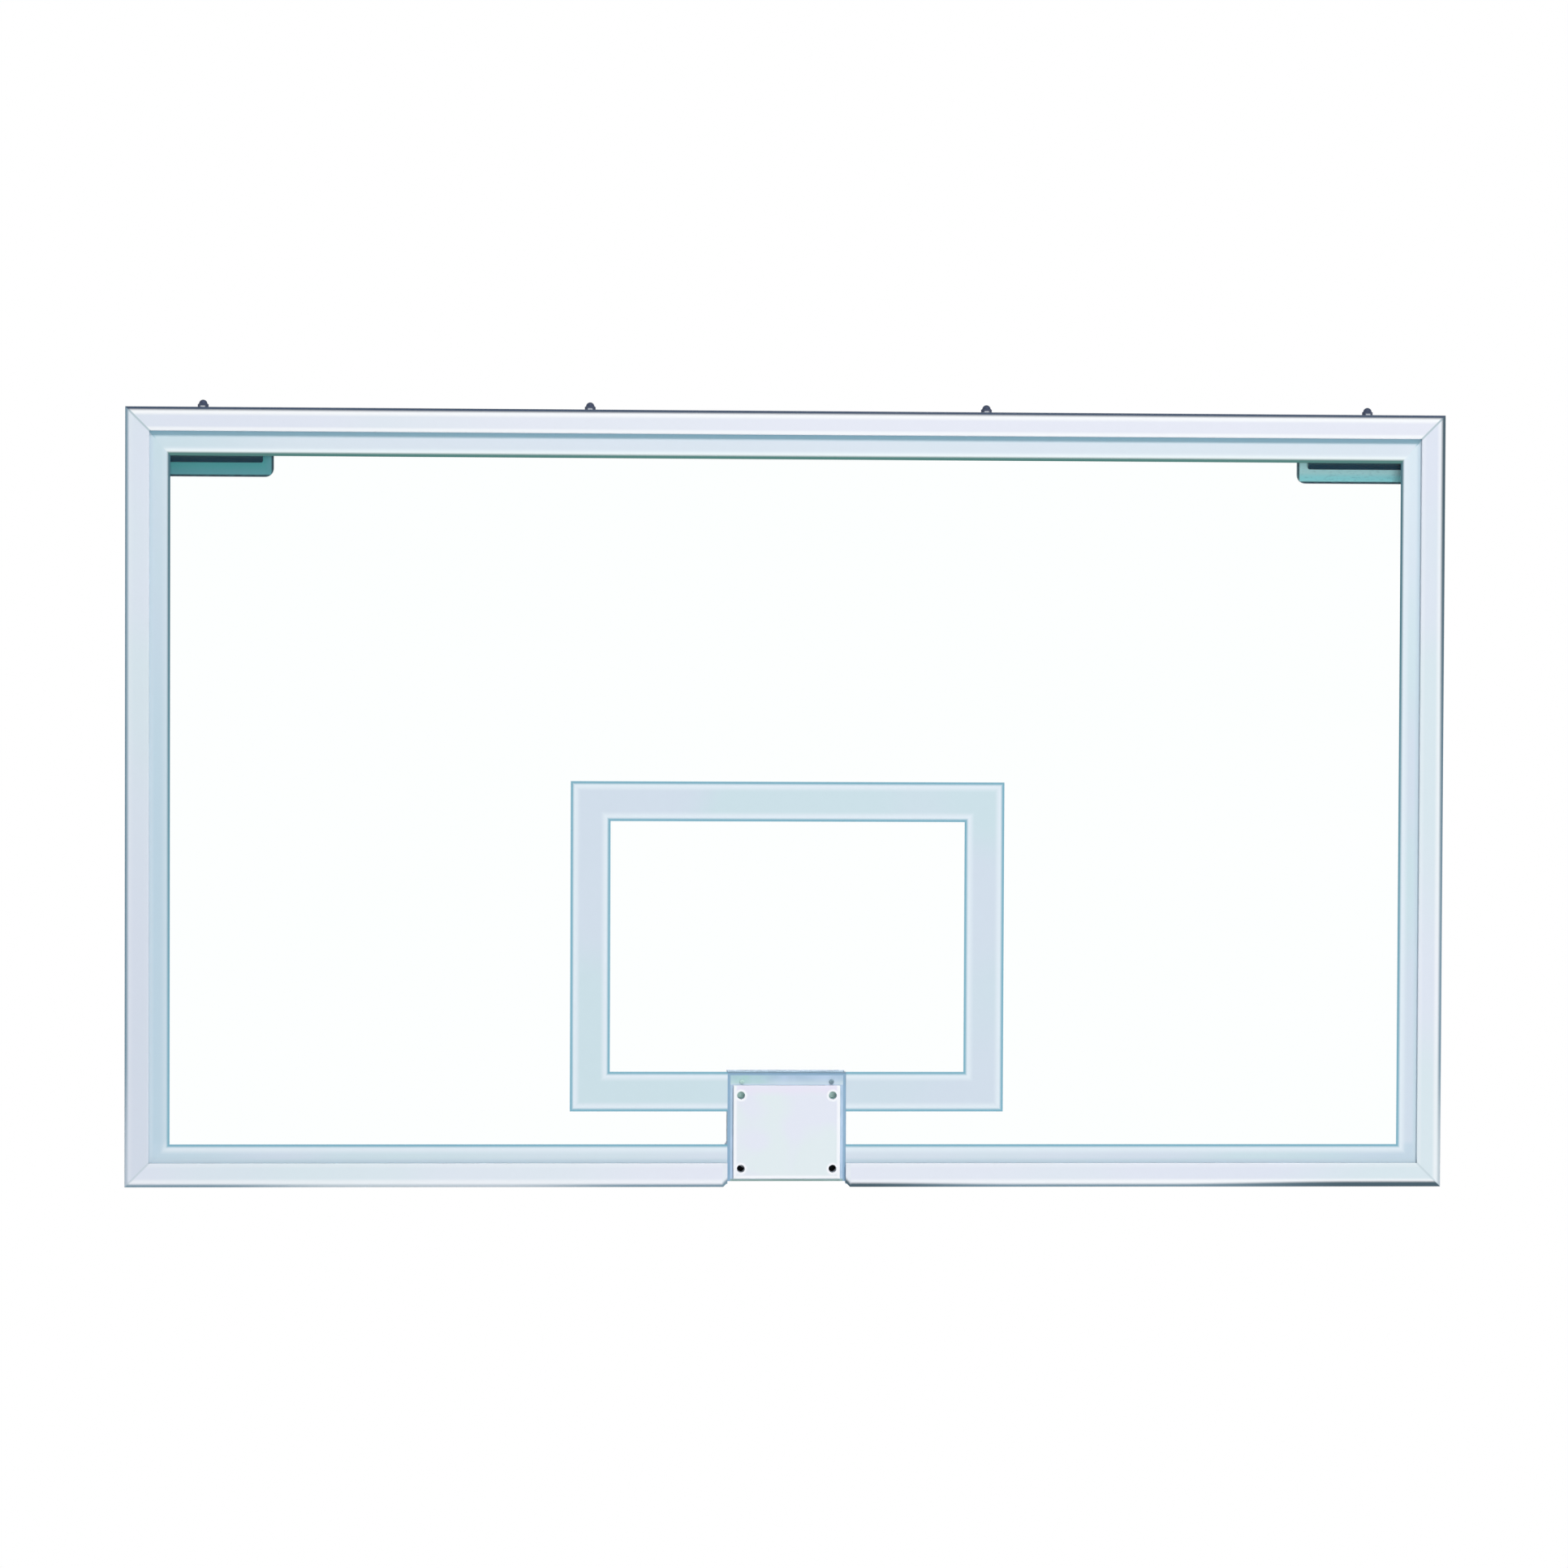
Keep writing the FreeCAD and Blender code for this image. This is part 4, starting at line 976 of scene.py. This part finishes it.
def panScrew(form, sizes):
    shape = fastenerShape
    crown = sizes["head"] / 2 * shape["crownShare"]
    rim = bmesh.ops.create_circle(form, radius=crown, segments=shape["screwSteps"])["verts"]
    socket = bmesh.ops.create_circle(form, radius=hexRadius(sizes["socket"]), segments=6)["verts"]
    rimEdges = linkedEdges(rim)
    socketEdges = linkedEdges(socket)
    bmesh.ops.bridge_loops(form, edges=rimEdges + socketEdges)
    bmesh.ops.translate(form, verts=form.verts, vec=(0, 0, sizes["height"]))
    for drop, grow in sizes["dome"]:             # the head rounds over and comes down to its seat
        made = bmesh.ops.extrude_edge_only(form, edges=rimEdges)["geom"]
        lower = [item for item in made if isinstance(item, bmesh.types.BMVert)]
        bmesh.ops.translate(form, verts=lower, vec=(0, 0, -drop))
        bmesh.ops.scale(form, verts=lower, vec=(grow, grow, 1))
        rimEdges = [item for item in made if isinstance(item, bmesh.types.BMEdge)]
    made = bmesh.ops.extrude_edge_only(form, edges=socketEdges)["geom"]
    lower = [item for item in made if isinstance(item, bmesh.types.BMVert)]
    bmesh.ops.translate(form, verts=lower, vec=(0, 0, -sizes["depth"]))
    bmesh.ops.edgeloop_fill(form, edges=[item for item in made if isinstance(item, bmesh.types.BMEdge)])
    bmesh.ops.edgeloop_fill(form, edges=rimEdges)
    bmesh.ops.recalc_face_normals(form, faces=form.faces)
    shankTop = sizes["height"] - sizes["depth"] - shape["socketFloor"]
    roundBar(form, sizes["shank"], -sizes["length"], shankTop, shape["screwChamfer"])


def setOut(name, shape, sizes, material, *replaced):
    whole = bmesh.new()
    turn = Euler([math.radians(angle) for angle in sizes["turn"]]).to_matrix().to_4x4()
    for spot in sizes["spots"]:
        single = bmesh.new()
        shape(single, sizes)
        single.transform(Matrix.Translation(spot) @ turn)
        copy = bpy.data.meshes.new(name + "Copy")
        single.to_mesh(copy)
        single.free()
        whole.from_mesh(copy)
        bpy.data.meshes.remove(copy)
    piece = addPiece(name, whole, material, "board", "plated_steel", *replaced, smooth=True)
    piece.data.set_sharp_from_angle(angle=math.radians(fastenerShape["sharpAngle"]))


toRear = (-90, 0, 0)                             # turns that point a fastener's head, in degrees
toFront = (90, 0, 0)
m8Bolt = {"flats": 0.013, "head": 0.0053, "shank": 0.008, "chamfer": 0.0006}
m8Washer = {"outer": 0.016, "inner": 0.009, "thick": 0.0016, "chamfer": 0.0003}

# Bolts through the top rail, with the dark domed nuts that show over it
topRow = {"inner": 0.275, "outer": 0.808, "depth": -0.0225, "headSeat": 0.9564, "railTop": 0.996}
topPlaces = (-topRow["outer"], -topRow["inner"], topRow["inner"], topRow["outer"])
nutSeat = topRow["railTop"] + m8Washer["thick"]
capNuts = {
    "spots": [(across, topRow["depth"], nutSeat) for across in topPlaces],
    "turn": (0, 0, 30),
    "flats": 0.013,
    "hexHeight": 0.0047,
    "chamfer": 0.0006,
    "dome": 0.0059,
    "domeSunk": 0.0004,
    "collar": 0.0064,
    "collarShare": 0.99,
    "collarHeight": 0.0007,
}
nutLook = {
    "dark": (38, 48, 70),
    "blue": (58, 70, 96),
    "stain": (700, 3.0),
    # painted highlight
    "pale": (240, 243, 247),                     # in the middle of the foot
    "paleFrom": (0.0018, 0.0044),
    "paleFoot": (0.9976, 1.0008),
    "metalShare": (0.25, -0.25),
    "rough": (0.45, 0.2),
}
nutFinish, where = newFinish("nutFinish")
x, z = [where.part(axis) for axis in "XZ"]
fromAxis = abs(abs(x) - topRow["outer"]).least(abs(abs(x) - topRow["inner"]))
# painted highlight in the middle of each nut's foot
shadeAndGlint = fromAxis.fade(*nutLook["paleFrom"]) * z.fade(*nutLook["paleFoot"])
stain = where.noise(*nutLook["stain"])
colour = where.tint(nutLook["dark"], nutLook["blue"], stain)
coat(where, {
    "Base Color": where.tint(colour, nutLook["pale"], shadeAndGlint),
    "Metallic": shadeAndGlint.level(*nutLook["metalShare"]),
    "Roughness": stain.level(*nutLook["rough"]),
    "Normal": where.noise(*zincLook["grain"]).relief(*zincLook["relief"]),
})
setOut("capNuts", capNut, capNuts, nutFinish, "top_cap_nuts")
topBolts = {
    **m8Bolt,
    "spots": [(across, topRow["depth"], topRow["headSeat"]) for across in topPlaces],
    "turn": (180, 0, 0),
    "length": 0.0472,
}
setOut("topBolts", hexBolt, topBolts, zinc, "top_bolts")
topLevels = (topRow["headSeat"], topRow["railTop"])
topWashers = {
    **m8Washer,
    "spots": [(across, topRow["depth"], level) for across in topPlaces for level in topLevels],
    "turn": (0, 0, 0),
}
setOut("topWashers", washer, topWashers, zinc, "top_washers")

# Bolts that hold the hanger plates to the angle
hangerRow = {"places": (0.74, 0.851), "height": 0.949, "nutSeat": -0.0195}
hangerSpots = [(side * place, hangerRow["height"]) for side in (-1, 1) for place in hangerRow["places"]]
hangerBolts = {
    **m8Bolt,
    "spots": [(across, m8Washer["thick"], height) for across, height in hangerSpots],
    "turn": toRear,
    "length": 0.0231,
}
setOut("hangerBolts", hexBolt, hangerBolts, zinc, "hanger_bolts")
hangerWashers = {
    **m8Washer,
    "spots": [(across, 0, height) for across, height in hangerSpots],
    "turn": toRear,
}
setOut("hangerWashers", washer, hangerWashers, zinc, "hanger_washers")
hangerNuts = {
    "spots": [(across, hangerRow["nutSeat"], height) for across, height in hangerSpots],
    "turn": toRear,
    "flats": 0.013,
    "bore": 0.0082,
    "thick": 0.0065,
    "chamfer": 0.0006,
}
setOut("hangerNuts", plainNut, hangerNuts, zinc, "hanger_nuts")

# Bolts that hold the back plate's wings to the lower rails
wingRow = {"places": (-0.3, -0.13, 0.13, 0.3), "height": -0.05925}
wingBolts = {
    **m8Bolt,
    "spots": [(place, m8Washer["thick"], wingRow["height"]) for place in wingRow["places"]],
    "turn": toRear,
    "length": 0.0211,
}
setOut("wingBolts", hexBolt, wingBolts, zinc, "back_plate_bolts")
wingWashers = {
    **m8Washer,
    "spots": [(place, 0, wingRow["height"]) for place in wingRow["places"]],
    "turn": toRear,
}
setOut("wingWashers", washer, wingWashers, zinc, "back_plate_washers")

# Socket screws of the corner keys, on the rear of the frame
cornerPlaces = {
    "depth": -0.008,
    "spots": ((0.89425, -0.016), (0.89425, 0.936), (0.851, -0.05925), (0.851, 0.97925)),
}
cornerScrews = {
    "head": 0.0095,
    "height": 0.003,
    "socket": 0.003,
    "depth": 0.002,
    "shank": 0.005,
    "length": 0.016,
    "dome": [(0.0003, 1.2), (0.0006, 1.1), (0.0009, 1.04), (0.0012, 1.012)],
    "spots": [(side * across, cornerPlaces["depth"], height)
              for side in (-1, 1) for across, height in cornerPlaces["spots"]],
    "turn": toRear,
}
setOut("cornerScrews", panScrew, cornerScrews, zinc, "corner_key_screws")

# The two screws over the face plate, one screw painted as lit and shaded copies: the left one pale with a
# painted reflection, the right one dull in painted shade
boxScrews = {
    "head": 0.007,
    "height": 0.0022,
    "socket": 0.0025,
    "depth": 0.0014,
    "shank": 0.004,
    "length": 0.014,
    "dome": [(0.0002, 1.2), (0.0004, 1.1), (0.0007, 1.04), (0.0009, 1.012)],
    "spots": [(-0.062, -0.0513, 0.069), (0.062, -0.0513, 0.069)],
    "turn": toFront,
}
screwLook = {
    "left": (196, 228, 220),
    "right": (118, 142, 158),
    "sideStep": (-0.01, 0.01),
    "worn": (150, 178, 184),
    "wear": (420, 3.0),
    "wearSpan": (0.35, 0.65),
    "wearShare": 0.5,
    "metal": 0.4,
    "rough": (0.34, 0.2),
}
screwFinish, where = newFinish("boxScrewFinish")
wear = where.noise(*screwLook["wear"])
wearShare = wear.fade(*screwLook["wearSpan"]) * screwLook["wearShare"]
# painted light: the left screw pale, the right one dark
colour = where.tint(screwLook["right"], screwLook["left"], where.part("X").fade(*screwLook["sideStep"]))
coat(where, {
    "Base Color": where.tint(colour, screwLook["worn"], wearShare),
    "Metallic": screwLook["metal"],
    "Roughness": wear.level(*screwLook["rough"]),
    "Normal": where.noise(*zincLook["grain"]).relief(*zincLook["relief"]),
})
setOut("boxScrews", panScrew, boxScrews, screwFinish, "anchor_screws")
print("fasteners set out")
